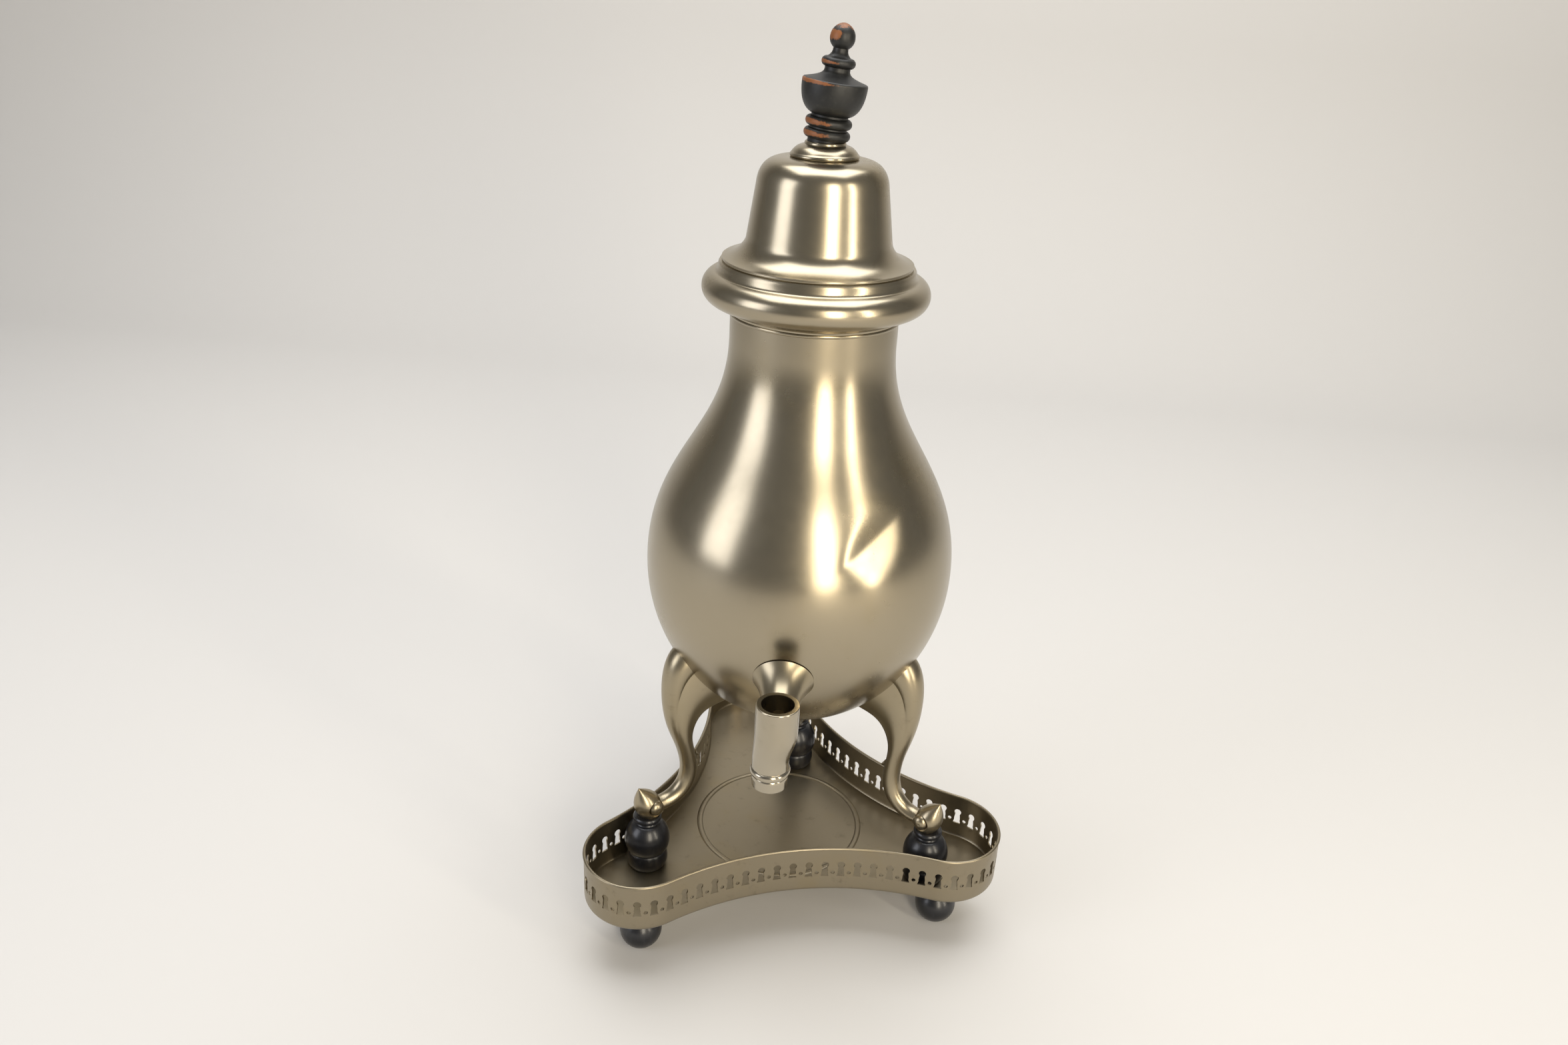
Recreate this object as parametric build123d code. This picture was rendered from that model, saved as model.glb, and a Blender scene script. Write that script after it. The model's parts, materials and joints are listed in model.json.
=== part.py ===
from build123d import *
import math
import os

# Antique coffee urn on a three-lobed gallery tray, millimetres.
# Z is up, the floor is Z 0, the tap points to -Y.
# The origin is on the floor, under the middle of the whole object's box.
# Azimuths are degrees about Z, counted from +X towards +Y.

# Tray outline: three lobe arcs joined by three hollow side arcs, all tangent
LOBE_REACH = 93.7
LOBE_RADIUS = 28.7
TRAY_WAIST = 56.6
TRAY_TURN = -14.7
LOBES = 3

# Tray sheet, gallery band and its wire
TRAY_FOOT_HEIGHT = 33.75
PLATE_SHEET = 0.75
GALLERY_SHEET = 0.75
GALLERY_HEIGHT = 26.8
GALLERY_BEND = 3.0
GALLERY_FLANGE = 6.0
RIM_WIRE_OVERHANG = 0.5
RIM_WIRE_HEIGHT = 1.3

# Burner ring, a bead pressed up in the plate
RING_RADIUS = 44.6
RING_WIDTH = 3.2
RING_HEIGHT = 0.6

# Keyhole piercing, with a small round hole between each two keyholes
KEYHOLES = 66
KEYHOLE_HEAD_DROP = 10.8
KEYHOLE_HEAD_RADIUS = 1.95
KEYHOLE_STEM_DROP = 12.0
KEYHOLE_FOOT_DROP = 18.2
KEYHOLE_STEM_HALF = 1.3
KEYHOLE_FOOT_HALF = 2.35
DOT_DROP = 15.9
DOT_RADIUS = 1.05
DOT_SCALLOP_RADIUS = 2.7

# Tray feet, turned wood
TRAY_FOOT_REACH = 93.3
TRAY_FOOT_BALL_RADIUS = 11.0
TRAY_FOOT_SOLE_RADIUS = 6.0
TRAY_FOOT_NECK_RADIUS = 5.2
TRAY_FOOT_COLLAR_RADIUS = 8.0
TRAY_FOOT_COLLAR_HEIGHT = 6.0
STUD_RADIUS = 2.0
TRAY_STUD_DEPTH = 15.0

# Urn body, a pear-shaped vessel with a straight neck
URN_STANDS_X = 1.65
URN_STANDS_Y = 3.5
BELLY_RADIUS = 77.0
BELLY_ABOVE_PLATE = 165.5
BELLY_DEPTH = 85.0
BODY_BASE_RADIUS = 22.0
NECK_RADIUS = 39.4
SHOULDER_RISE = 114.0
BELLY_HANDLE = 53.0
NECK_HANDLE = 48.0
NECK_LENGTH = 36.5
BODY_WALL = 1.0

# Dent in the belly, a straight crease pushed in between two points of the belly
DENT_LOW_AZIMUTH = -69.0
DENT_LOW_RISE = 31.0
DENT_HIGH_AZIMUTH = -45.0
DENT_HIGH_RISE = 47.0
DENT_DEPTH = 0.5
DENT_UPPER_ANGLE = 10.0
DENT_LOWER_ANGLE = 4.5
DENT_TOOL = 48.0

# Rim moulding and neck bead, measured down from the lid ledge
MOULDING_LEDGE_RADIUS = 44.8
MOULDING_ROLL_RADIUS = 53.0
MOULDING_ROLL_DROP = 12.0
MOULDING_ROLL_HALF = 7.0
MOULDING_STEP = 1.0
MOULDING_HEIGHT = 23.0
MOULDING_SKIRT = 0.6
NECK_BEAD_RADIUS = 0.9

# Tap
TAP_REACH = 98.6
TAP_RIM_BELOW_BELLY = 25.2
BARREL_RIM_RADIUS = 9.9
BARREL_STRAIGHT = 15.5
BARREL_STRAIGHT_RADIUS = 9.8
BARREL_WAIST_RADIUS = 8.55
BARREL_WAIST_DROP = 29.5
BARREL_SECTIONS = 4
BARREL_BEAD_RADIUS = 9.35
BARREL_BEAD_DROP = 35.2
BARREL_BEAD_HALF = 1.5
BARREL_BEAD_CROWN = 0.5
BARREL_RIM_ROUND = 0.6
BARREL_GROOVE = 0.6
BARREL_GROOVE_RADIUS = 8.3
SPOUT_SIDE = 1.85
SPOUT_RADIUS = 8.35
SPOUT_TAPER = 0.15
BARREL_LENGTH = 43.0
PLUG_BORE_RADIUS = 7.6
PLUG_BORE_DEPTH = 20.0
PLUG_SEAT = 3.5
SPOUT_BORE_RADIUS = 4.8
TAP_NECK_BELLY_DROP = 30.0
TAP_NECK_START = 71.0
TAP_NECK_FALL = 20.6
TAP_NECK_RADIUS = 8.7
TAP_FLARE_RADIUS = 14.5
TAP_FLARE_LENGTH = 17.0
TAP_PASSAGE_RADIUS = 4.0

# Legs: azimuth and reach of each foot from the urn's axis
LEGS = {"left": (-145.0, 83.5), "right": (-25.0, 87.0), "back": (88.0, 54.5)}
LEG_NOMINAL_REACH = 85.0
LEG_KNEE_RISE = 92.0
# Stations down the S: outer and inner (reach, rise above the plate), width
LEG_STATIONS = (
    ((62.0, 129.5), (30.0, 98.5), 20.0),
    ((71.8, 123.0), (42.5, 91.0), 17.5),
    ((75.3, 108.5), (52.5, 87.3), 15.5),
    ((75.0, 95.5), (57.0, 82.0), 14.2),
    ((72.6, 82.5), (59.2, 75.0), 13.0),
    ((68.6, 70.0), (58.8, 67.5), 11.6),
    ((66.2, 58.5), (57.3, 58.5), 10.4),
    ((67.2, 49.0), (58.2, 46.5), 9.8),
    ((72.0, 42.6), (65.4, 36.8), 9.4),
    ((79.0, 40.2), (75.6, 32.8), 8.8),
    ((86.0, 41.0), (85.0, 33.6), 7.6),
)
SPUR_LENGTH = 3.2
SPUR_RISE = 62.0
SPUR_RADIUS = 1.9

# Toe: a bud that leans outward over the foot, with an eye boss on each side
TOE_LEAN = 24.0
TOE_RADIUS = 7.0
TOE_LENGTH = 19.5
TOE_SET_BACK = 2.8
TOE_SHOULDER = 7.0
EYE_RADIUS = 4.2
EYE_OUT = 7.6
EYE_UP = 5.8
EYE_CROWN = 2.4
EYE_GROOVE = 0.6
EYE_GROOVE_DEPTH = 0.9

# Wooden feet of the urn
LEG_FOOT_HEIGHT = 31.5
LEG_FOOT_BALL_RADIUS = 11.8
LEG_FOOT_BASE_RADIUS = 10.8
LEG_FOOT_SOLE_RADIUS = 9.6
LEG_FOOT_GROOVE_RADIUS = 9.9
LEG_FOOT_GROOVE_RISE = 9.4
LEG_FOOT_NECK_RADIUS = 5.8
LEG_FOOT_COLLAR_RADIUS = 7.5
LEG_FOOT_COLLAR_HEIGHT = 3.0
LEG_PIN_RADIUS = 2.0
LEG_PIN_IN_TOE = 5.0
LEG_PIN_IN_FOOT = 16.0

# Lid
LID_FLANGE_RADIUS = 44.0
LID_FLANGE_SHEET = 1.2
LOCATING_DEPTH = 9.0
LOCATING_WALL = 1.0
LOCATING_CLEARANCE = 0.4
DOME_WALL = 1.0
DOME_FLARE_RADIUS = 33.4
DOME_FLARE_RISE = 9.0
DOME_SHOULDER_RADIUS = 29.8
DOME_SHOULDER_RISE = 34.0
DOME_TOP_RADIUS = 17.0
DOME_HEIGHT = 45.3
DOME_HOLE_CLEARANCE = 0.3

# Finial and its fixing
COLLAR_RADIUS = 15.5
COLLAR_EDGE = 2.0
COLLAR_TOP_RADIUS = 8.8
COLLAR_HEIGHT = 7.0
FINIAL_LEAN = 6.0
FINIAL_HEIGHT = 48.6
FINIAL_STUD_RADIUS = 2.0
FINIAL_STUD_IN_WOOD = 16.0
FINIAL_STUD_TAIL = 1.5
FINIAL_STUD_BEND = 15.0
WASHER_RADIUS = 6.0
WASHER_SHEET = 1.0
NUT_ACROSS_FLATS = 7.0
NUT_HEIGHT = 3.2

# Heights that follow
PLATE_TOP = TRAY_FOOT_HEIGHT + PLATE_SHEET
GALLERY_FOOT = TRAY_FOOT_HEIGHT - GALLERY_SHEET
GALLERY_TOP = GALLERY_FOOT + GALLERY_HEIGHT
RIM_TOP = GALLERY_TOP + RIM_WIRE_HEIGHT
BELLY_Z = PLATE_TOP + BELLY_ABOVE_PLATE
NECK_START = BELLY_Z + SHOULDER_RISE
LEDGE_Z = NECK_START + NECK_LENGTH
DOME_BASE = LEDGE_Z + LID_FLANGE_SHEET
DOME_TOP = DOME_BASE + DOME_HEIGHT
COLLAR_TOP = DOME_TOP + COLLAR_HEIGHT
TOE_BASE = PLATE_TOP + LEG_FOOT_HEIGHT
TAP_RIM_Z = BELLY_Z - TAP_RIM_BELOW_BELLY

# Side arcs of the tray: the radius that makes them tangent to the lobes
SIDE_RADIUS = (
    LOBE_RADIUS**2 - TRAY_WAIST**2 - LOBE_REACH**2 + TRAY_WAIST * LOBE_REACH
) / (2 * TRAY_WAIST - LOBE_REACH - 2 * LOBE_RADIUS)
LOBE_AZIMUTHS = [TRAY_TURN + 360.0 * i / LOBES for i in range(LOBES)]


def polar(reach, azimuth, height=0.0):
    """Point at a reach and azimuth about the Z axis."""
    angle = math.radians(azimuth)
    return Vector(reach * math.cos(angle), reach * math.sin(angle), height)


def tray_middle():
    """Centre of the three lobes, placed so that the box of tray and tap is centred on the origin."""
    centres = [polar(LOBE_REACH, azimuth) for azimuth in LOBE_AZIMUTHS]
    lobe = LOBE_RADIUS + RIM_WIRE_OVERHANG
    xs = [centre.X for centre in centres]
    ys = [centre.Y for centre in centres]
    front = min(min(ys) - lobe, URN_STANDS_Y - TAP_REACH - BARREL_RIM_RADIUS)
    return Vector(-(max(xs) + min(xs)) / 2, -(max(ys) + lobe + front) / 2, 0)


TRAY_AT = tray_middle()
URN_AT = TRAY_AT + Vector(URN_STANDS_X, URN_STANDS_Y, 0)


def turned(*edges):
    """Solid turned about Z from the edges of a closed outline in (radius, height)."""
    outline = Plane.XZ * make_face(list(edges))
    return revolve(outline, axis=Axis.Z)


def rod(radius, low, high):
    """Upright cylinder about Z between two heights."""
    return Pos(0, 0, (low + high) / 2) * Cylinder(radius, high - low)


def slab(low, high, size=600.0):
    """Wide flat block between two heights."""
    return Pos(0, 0, (low + high) / 2) * Box(size, size, high - low)


def outline_arcs(inset):
    """Six tangent arcs of the tray's outline, drawn in by an inset."""
    lobe = LOBE_RADIUS - inset
    side = SIDE_RADIUS + inset
    arcs = []
    for azimuth in LOBE_AZIMUTHS:
        centre = polar(LOBE_REACH, azimuth)
        side_before = polar(TRAY_WAIST + SIDE_RADIUS, azimuth - 60)
        side_after = polar(TRAY_WAIST + SIDE_RADIUS, azimuth + 60)
        next_lobe = polar(LOBE_REACH, azimuth + 120)
        start = centre + (side_before - centre).normalized() * lobe
        end = centre + (side_after - centre).normalized() * lobe
        following = next_lobe + (side_after - next_lobe).normalized() * lobe
        arcs.append(ThreePointArc(start, polar(LOBE_REACH + lobe, azimuth), end))
        arcs.append(ThreePointArc(end, side_after - side_after.normalized() * side, following))
    return arcs


def tray_block(inset, low, high):
    """Block of the tray's outline between two heights, about the tray's own centre."""
    return Pos(0, 0, low) * extrude(make_face(outline_arcs(inset)), high - low)


def tray_inside(low, high):
    """Room inside the gallery band, with the bend of its foot."""
    room = tray_block(GALLERY_SHEET, low, high)
    bottom = room.edges().group_by(Axis.Z)[0]
    return fillet(bottom, GALLERY_BEND - GALLERY_SHEET)


def keyhole(pitch):
    """Outline of one keyhole: a round head over a stem hollowed beside the round holes."""
    head = Pos(0, -KEYHOLE_HEAD_DROP) * Circle(KEYHOLE_HEAD_RADIUS)
    stem = make_face(
        Polyline(
            (-KEYHOLE_STEM_HALF, -KEYHOLE_HEAD_DROP),
            (KEYHOLE_STEM_HALF, -KEYHOLE_HEAD_DROP),
            (KEYHOLE_STEM_HALF, -KEYHOLE_STEM_DROP),
            (KEYHOLE_FOOT_HALF, -KEYHOLE_FOOT_DROP),
            (-KEYHOLE_FOOT_HALF, -KEYHOLE_FOOT_DROP),
            (-KEYHOLE_STEM_HALF, -KEYHOLE_STEM_DROP),
            close=True,
        )
    )
    scallops = [Pos(side * pitch / 2, -DOT_DROP) * Circle(DOT_SCALLOP_RADIUS) for side in (-1, 1)]
    return head + (stem - scallops)


def piercings():
    """Cutting bars for every keyhole and round hole, square to the band where they pass."""
    middle = Wire(outline_arcs(GALLERY_SHEET / 2))
    pitch = middle.length / KEYHOLES
    bar = extrude(keyhole(pitch), 2 * GALLERY_SHEET, both=True)
    dot = extrude(Pos(0, -DOT_DROP) * Circle(DOT_RADIUS), 2 * GALLERY_SHEET, both=True)
    bars = []
    for step in range(2 * KEYHOLES):
        share = (step + 0.5) / (2 * KEYHOLES)
        along = middle.tangent_at(share)
        spot = middle.position_at(share) + Vector(0, 0, RIM_TOP)
        place = Plane(origin=spot, x_dir=along, z_dir=along.cross(Vector(0, 0, 1)))
        bars.append(place.location * (bar if step % 2 == 0 else dot))
    return bars


def make_gallery():
    """Pierced band with its foot turned in under the plate."""
    band = tray_block(0, GALLERY_FOOT, GALLERY_TOP)
    band = fillet(band.edges().group_by(Axis.Z)[0], GALLERY_BEND)
    band -= tray_inside(TRAY_FOOT_HEIGHT, RIM_TOP)
    band -= tray_block(GALLERY_FLANGE, 0, RIM_TOP)
    band -= piercings()
    return Pos(TRAY_AT) * band


def make_rim_wire():
    """Half-round wire that caps the band."""
    wire = tray_block(-RIM_WIRE_OVERHANG, GALLERY_TOP, RIM_TOP)
    wire -= tray_block(GALLERY_SHEET + RIM_WIRE_OVERHANG, GALLERY_TOP, RIM_TOP)
    wire = fillet(wire.edges().group_by(Axis.Z)[-1], (GALLERY_SHEET + RIM_WIRE_OVERHANG) / 2)
    return Pos(TRAY_AT) * wire


def ring_bead(grow, base):
    """Low round bead over a height, as wide as the pressed ring and a little more."""
    half = RING_WIDTH / 2 + grow
    crown = RING_HEIGHT + grow
    arc = ThreePointArc((RING_RADIUS - half, base), (RING_RADIUS, base + crown), (RING_RADIUS + half, base))
    return turned(arc, Line((RING_RADIUS + half, base), (RING_RADIUS - half, base)))


def make_plate():
    """Three-lobed sheet inside the gallery, with the burner ring pressed up in it."""
    plate = tray_inside(TRAY_FOOT_HEIGHT, RIM_TOP) & slab(TRAY_FOOT_HEIGHT, PLATE_TOP)
    plate += ring_bead(0, PLATE_TOP)
    plate -= ring_bead(-PLATE_SHEET / 4, TRAY_FOOT_HEIGHT)
    return Pos(TRAY_AT) * plate


def tray_foot_places():
    """Places of the tray's feet by name, on the floor."""
    names = ("right", "back", "left")
    spots = [TRAY_AT + polar(TRAY_FOOT_REACH, azimuth) for azimuth in LOBE_AZIMUTHS]
    return dict(zip(names, spots))


def make_tray_foot():
    """Turned ball foot with a neck and a collar under the plate."""
    collar_low = TRAY_FOOT_HEIGHT - TRAY_FOOT_COLLAR_HEIGHT
    ball_mid = math.sqrt(TRAY_FOOT_BALL_RADIUS**2 - TRAY_FOOT_SOLE_RADIUS**2)
    neck_low = ball_mid + math.sqrt(TRAY_FOOT_BALL_RADIUS**2 - TRAY_FOOT_NECK_RADIUS**2)
    sole_angle = -math.degrees(math.acos(TRAY_FOOT_SOLE_RADIUS / TRAY_FOOT_BALL_RADIUS))
    neck_angle = math.degrees(math.acos(TRAY_FOOT_NECK_RADIUS / TRAY_FOOT_BALL_RADIUS))
    collar_mid = collar_low + TRAY_FOOT_COLLAR_HEIGHT * 0.55
    foot = turned(
        Line((0, 0), (TRAY_FOOT_SOLE_RADIUS, 0)),
        CenterArc((0, ball_mid), TRAY_FOOT_BALL_RADIUS, sole_angle, neck_angle - sole_angle),
        ThreePointArc(
            (TRAY_FOOT_NECK_RADIUS, neck_low),
            (TRAY_FOOT_NECK_RADIUS - 0.4, (neck_low + collar_low) / 2),
            (TRAY_FOOT_NECK_RADIUS, collar_low),
        ),
        ThreePointArc(
            (TRAY_FOOT_NECK_RADIUS, collar_low),
            (TRAY_FOOT_COLLAR_RADIUS, collar_mid),
            (TRAY_FOOT_COLLAR_RADIUS - 0.8, TRAY_FOOT_HEIGHT),
        ),
        Line((TRAY_FOOT_COLLAR_RADIUS - 0.8, TRAY_FOOT_HEIGHT), (0, TRAY_FOOT_HEIGHT)),
        Line((0, TRAY_FOOT_HEIGHT), (0, 0)),
    )
    return foot - rod(STUD_RADIUS, TRAY_FOOT_HEIGHT - TRAY_STUD_DEPTH, TRAY_FOOT_HEIGHT + 1)


def make_tray_studs():
    """Studs that hold the three feet, soldered under the plate."""
    stud = rod(STUD_RADIUS, TRAY_FOOT_HEIGHT - TRAY_STUD_DEPTH, TRAY_FOOT_HEIGHT)
    return Compound([Pos(spot) * stud for spot in tray_foot_places().values()])


def body_outline(inset):
    """Pear outline of the vessel about Z, drawn in by an inset."""
    neck = NECK_RADIUS - inset
    belly = BELLY_RADIUS - inset
    depth = BELLY_DEPTH - inset
    cosine = BODY_BASE_RADIUS / BELLY_RADIUS
    sine = math.sqrt(1 - cosine**2)
    handle = 4 / 3 * math.tan(math.asin(sine) / 4)
    base_radius = belly * cosine
    base = BELLY_Z - depth * sine
    bowl = Bezier(
        (base_radius, base),
        (base_radius + handle * belly * sine, base + handle * depth * cosine),
        (belly, BELLY_Z - handle * depth),
        (belly, BELLY_Z),
    )
    top = LEDGE_Z + (inset > 0)
    return turned(
        Line((0, base), (base_radius, base)),
        bowl,
        Bezier(
            (belly, BELLY_Z), (belly, BELLY_Z + BELLY_HANDLE), (neck, NECK_START - NECK_HANDLE), (neck, NECK_START)
        ),
        Line((neck, NECK_START), (neck, top)),
        Line((neck, top), (0, top)),
        Line((0, top), (0, base)),
    )


def shoulder_radius(rise):
    """Radius of the pear above the belly, from the same curve as its outline."""
    low, high = 0.0, 1.0
    for _ in range(40):
        t = (low + high) / 2
        z = 3 * t * (1 - t) ** 2 * BELLY_HANDLE + 3 * t**2 * (1 - t) * (SHOULDER_RISE - NECK_HANDLE)
        z += t**3 * SHOULDER_RISE
        low, high = (t, high) if z < rise else (low, t)
    blend = t**2 * (3 - 2 * t)
    return BELLY_RADIUS * (1 - blend) + NECK_RADIUS * blend


def dent_tool(back_off):
    """Wedge whose edge is the crease, moved outward by a wall for the inner face."""
    low = polar(shoulder_radius(DENT_LOW_RISE), DENT_LOW_AZIMUTH, BELLY_Z + DENT_LOW_RISE)
    high = polar(shoulder_radius(DENT_HIGH_RISE), DENT_HIGH_AZIMUTH, BELLY_Z + DENT_HIGH_RISE)
    crease = (high - low).normalized()
    middle = (low + high) * 0.5
    slope = (shoulder_radius(DENT_LOW_RISE) - shoulder_radius(DENT_HIGH_RISE)) / (DENT_HIGH_RISE - DENT_LOW_RISE)
    outward = Vector(middle.X, middle.Y, math.hypot(middle.X, middle.Y) * slope)
    outward = (outward - crease * outward.dot(crease)).normalized()
    across = outward.cross(crease)
    edge = middle - outward * (DENT_DEPTH + back_off)
    wedge = None
    for side, angle in ((1, DENT_UPPER_ANGLE), (-1, DENT_LOWER_ANGLE)):
        tilt = math.radians(angle)
        normal = outward * math.cos(tilt) - across * (side * math.sin(tilt))
        place = Plane(origin=edge, x_dir=crease, z_dir=normal)
        half = place.location * Pos(0, 0, DENT_TOOL / 2) * Box(DENT_TOOL, DENT_TOOL, DENT_TOOL)
        wedge = half if wedge is None else wedge & half
    return wedge


def tap_passage():
    """Bar along the tap neck's axis, from inside the belly to the plug bore."""
    start = Plane(origin=tap_neck_origin(), z_dir=tap_neck_direction())
    length = TAP_REACH - TAP_NECK_START
    return start.location * rod(TAP_PASSAGE_RADIUS, -TAP_FLARE_LENGTH, length)


def tap_neck_origin():
    """Point of the tap neck's axis at the belly."""
    return Vector(0, -TAP_NECK_START, BELLY_Z - TAP_NECK_BELLY_DROP)


def tap_neck_direction():
    """Direction of the tap neck, outward and a little down."""
    fall = math.radians(TAP_NECK_FALL)
    return Vector(0, -math.cos(fall), -math.sin(fall))


def barrel_place():
    """Location of the barrel's rim, upright."""
    return Pos(0, -TAP_REACH, TAP_RIM_Z)


def make_body():
    """Vessel with an even wall, its dent and the hole behind the tap."""
    inside = body_outline(BODY_WALL) - dent_tool(BODY_WALL)
    body = body_outline(0) - dent_tool(0) - inside - tap_passage()
    return Pos(URN_AT) * body


def make_moulding():
    """Rim moulding: lower flare, half-round roll, cove and lid ledge."""
    bottom = LEDGE_Z - MOULDING_HEIGHT
    roll = LEDGE_Z - MOULDING_ROLL_DROP
    roll_low = roll - MOULDING_ROLL_HALF
    roll_high = roll + MOULDING_ROLL_HALF
    root = MOULDING_ROLL_RADIUS - MOULDING_ROLL_HALF * 0.8
    flare = root - 2.6
    shoulder = LEDGE_Z - MOULDING_STEP
    ring = turned(
        Line((NECK_RADIUS, bottom), (NECK_RADIUS + MOULDING_SKIRT, bottom)),
        Bezier(
            (NECK_RADIUS + MOULDING_SKIRT, bottom),
            (NECK_RADIUS + MOULDING_SKIRT, bottom + 1.5),
            (flare - 2.0, roll_low - 1.3),
            (flare, roll_low - 0.6),
        ),
        Line((flare, roll_low - 0.6), (root, roll_low)),
        ThreePointArc((root, roll_low), (MOULDING_ROLL_RADIUS, roll), (root, roll_high)),
        Bezier(
            (root, roll_high),
            (root - 1.6, roll_high + 0.2),
            (MOULDING_LEDGE_RADIUS + 0.9, shoulder - 1.4),
            (MOULDING_LEDGE_RADIUS + 0.6, shoulder),
        ),
        Line((MOULDING_LEDGE_RADIUS + 0.6, shoulder), (MOULDING_LEDGE_RADIUS, LEDGE_Z)),
        Line((MOULDING_LEDGE_RADIUS, LEDGE_Z), (NECK_RADIUS, LEDGE_Z)),
        Line((NECK_RADIUS, LEDGE_Z), (NECK_RADIUS, bottom)),
    )
    return Pos(URN_AT) * ring


def make_neck_bead():
    """Half-round wire round the neck, tight under the moulding."""
    low = LEDGE_Z - MOULDING_HEIGHT - 2 * NECK_BEAD_RADIUS
    high = LEDGE_Z - MOULDING_HEIGHT
    crown = (NECK_RADIUS + NECK_BEAD_RADIUS, (low + high) / 2)
    bead = turned(
        ThreePointArc((NECK_RADIUS, low), crown, (NECK_RADIUS, high)),
        Line((NECK_RADIUS, high), (NECK_RADIUS, low)),
    )
    return Pos(URN_AT) * bead


def barrel_swell():
    """Smooth way from the upright barrel to the narrower spout set to one side."""
    sections = []
    for step in range(BARREL_SECTIONS + 1):
        share = step / BARREL_SECTIONS
        blend = share * share * (3 - 2 * share)
        drop = BARREL_STRAIGHT + (BARREL_WAIST_DROP - BARREL_STRAIGHT) * share
        radius = BARREL_STRAIGHT_RADIUS + (BARREL_WAIST_RADIUS - BARREL_STRAIGHT_RADIUS) * blend
        sections.append(Pos(-SPOUT_SIDE * blend, 0, -drop) * Circle(radius))
    return loft(sections)


def spout_block():
    """Lower end of the tap: waist, bead between two grooves, and the spout."""
    bead_high = -(BARREL_BEAD_DROP - BARREL_BEAD_HALF)
    bead_low = -(BARREL_BEAD_DROP + BARREL_BEAD_HALF)
    waist_z = bead_high + BARREL_GROOVE
    bead_edge = BARREL_BEAD_RADIUS - BARREL_BEAD_CROWN
    lower_groove = BARREL_GROOVE_RADIUS - BARREL_GROOVE / 2
    tip = SPOUT_RADIUS - SPOUT_TAPER
    return turned(
        Line((0, -BARREL_WAIST_DROP), (BARREL_WAIST_RADIUS, -BARREL_WAIST_DROP)),
        Line((BARREL_WAIST_RADIUS, -BARREL_WAIST_DROP), (BARREL_WAIST_RADIUS, waist_z)),
        Line((BARREL_WAIST_RADIUS, waist_z), (BARREL_GROOVE_RADIUS, waist_z - BARREL_GROOVE / 2)),
        Line((BARREL_GROOVE_RADIUS, waist_z - BARREL_GROOVE / 2), (bead_edge, bead_high)),
        ThreePointArc((bead_edge, bead_high), (BARREL_BEAD_RADIUS, -BARREL_BEAD_DROP), (bead_edge, bead_low)),
        Line((bead_edge, bead_low), (lower_groove, bead_low - BARREL_GROOVE)),
        Line((lower_groove, bead_low - BARREL_GROOVE), (SPOUT_RADIUS, bead_low - 2 * BARREL_GROOVE)),
        Line((SPOUT_RADIUS, bead_low - 2 * BARREL_GROOVE), (tip, -BARREL_LENGTH)),
        Line((tip, -BARREL_LENGTH), (0, -BARREL_LENGTH)),
        Line((0, -BARREL_LENGTH), (0, -BARREL_WAIST_DROP)),
    )


def barrel_block():
    """Outer shape of the tap barrel as a filled solid, rim at height 0."""
    edge = BARREL_RIM_RADIUS - BARREL_RIM_ROUND
    barrel = turned(
        Line((0, 0), (edge, 0)),
        Bezier((edge, 0), (BARREL_RIM_RADIUS, 0), (BARREL_RIM_RADIUS, -BARREL_RIM_ROUND)),
        Line((BARREL_RIM_RADIUS, -BARREL_RIM_ROUND), (BARREL_STRAIGHT_RADIUS, -BARREL_STRAIGHT)),
        Line((BARREL_STRAIGHT_RADIUS, -BARREL_STRAIGHT), (0, -BARREL_STRAIGHT)),
        Line((0, -BARREL_STRAIGHT), (0, 0)),
    )
    return barrel + barrel_swell() + Pos(-SPOUT_SIDE, 0, 0) * spout_block()


def barrel_bore():
    """Plug bore, its seat and the spout's channel, rim at height 0."""
    seat = -(PLUG_BORE_DEPTH + PLUG_SEAT)
    channel_top = -(PLUG_BORE_DEPTH + PLUG_SEAT * 0.4)
    low = -BARREL_LENGTH - 1
    plug = turned(
        Line((0, 1), (PLUG_BORE_RADIUS, 1)),
        Line((PLUG_BORE_RADIUS, 1), (PLUG_BORE_RADIUS, -PLUG_BORE_DEPTH)),
        Line((PLUG_BORE_RADIUS, -PLUG_BORE_DEPTH), (SPOUT_BORE_RADIUS, seat)),
        Line((SPOUT_BORE_RADIUS, seat), (0, seat)),
        Line((0, seat), (0, 1)),
    )
    return plug + Pos(-SPOUT_SIDE, 0, 0) * rod(SPOUT_BORE_RADIUS, low, channel_top)


def make_barrel():
    """Tap barrel with its open plug bore and the way in from the neck."""
    barrel = barrel_place() * (barrel_block() - barrel_bore())
    return Pos(URN_AT) * (barrel - tap_passage())


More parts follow.
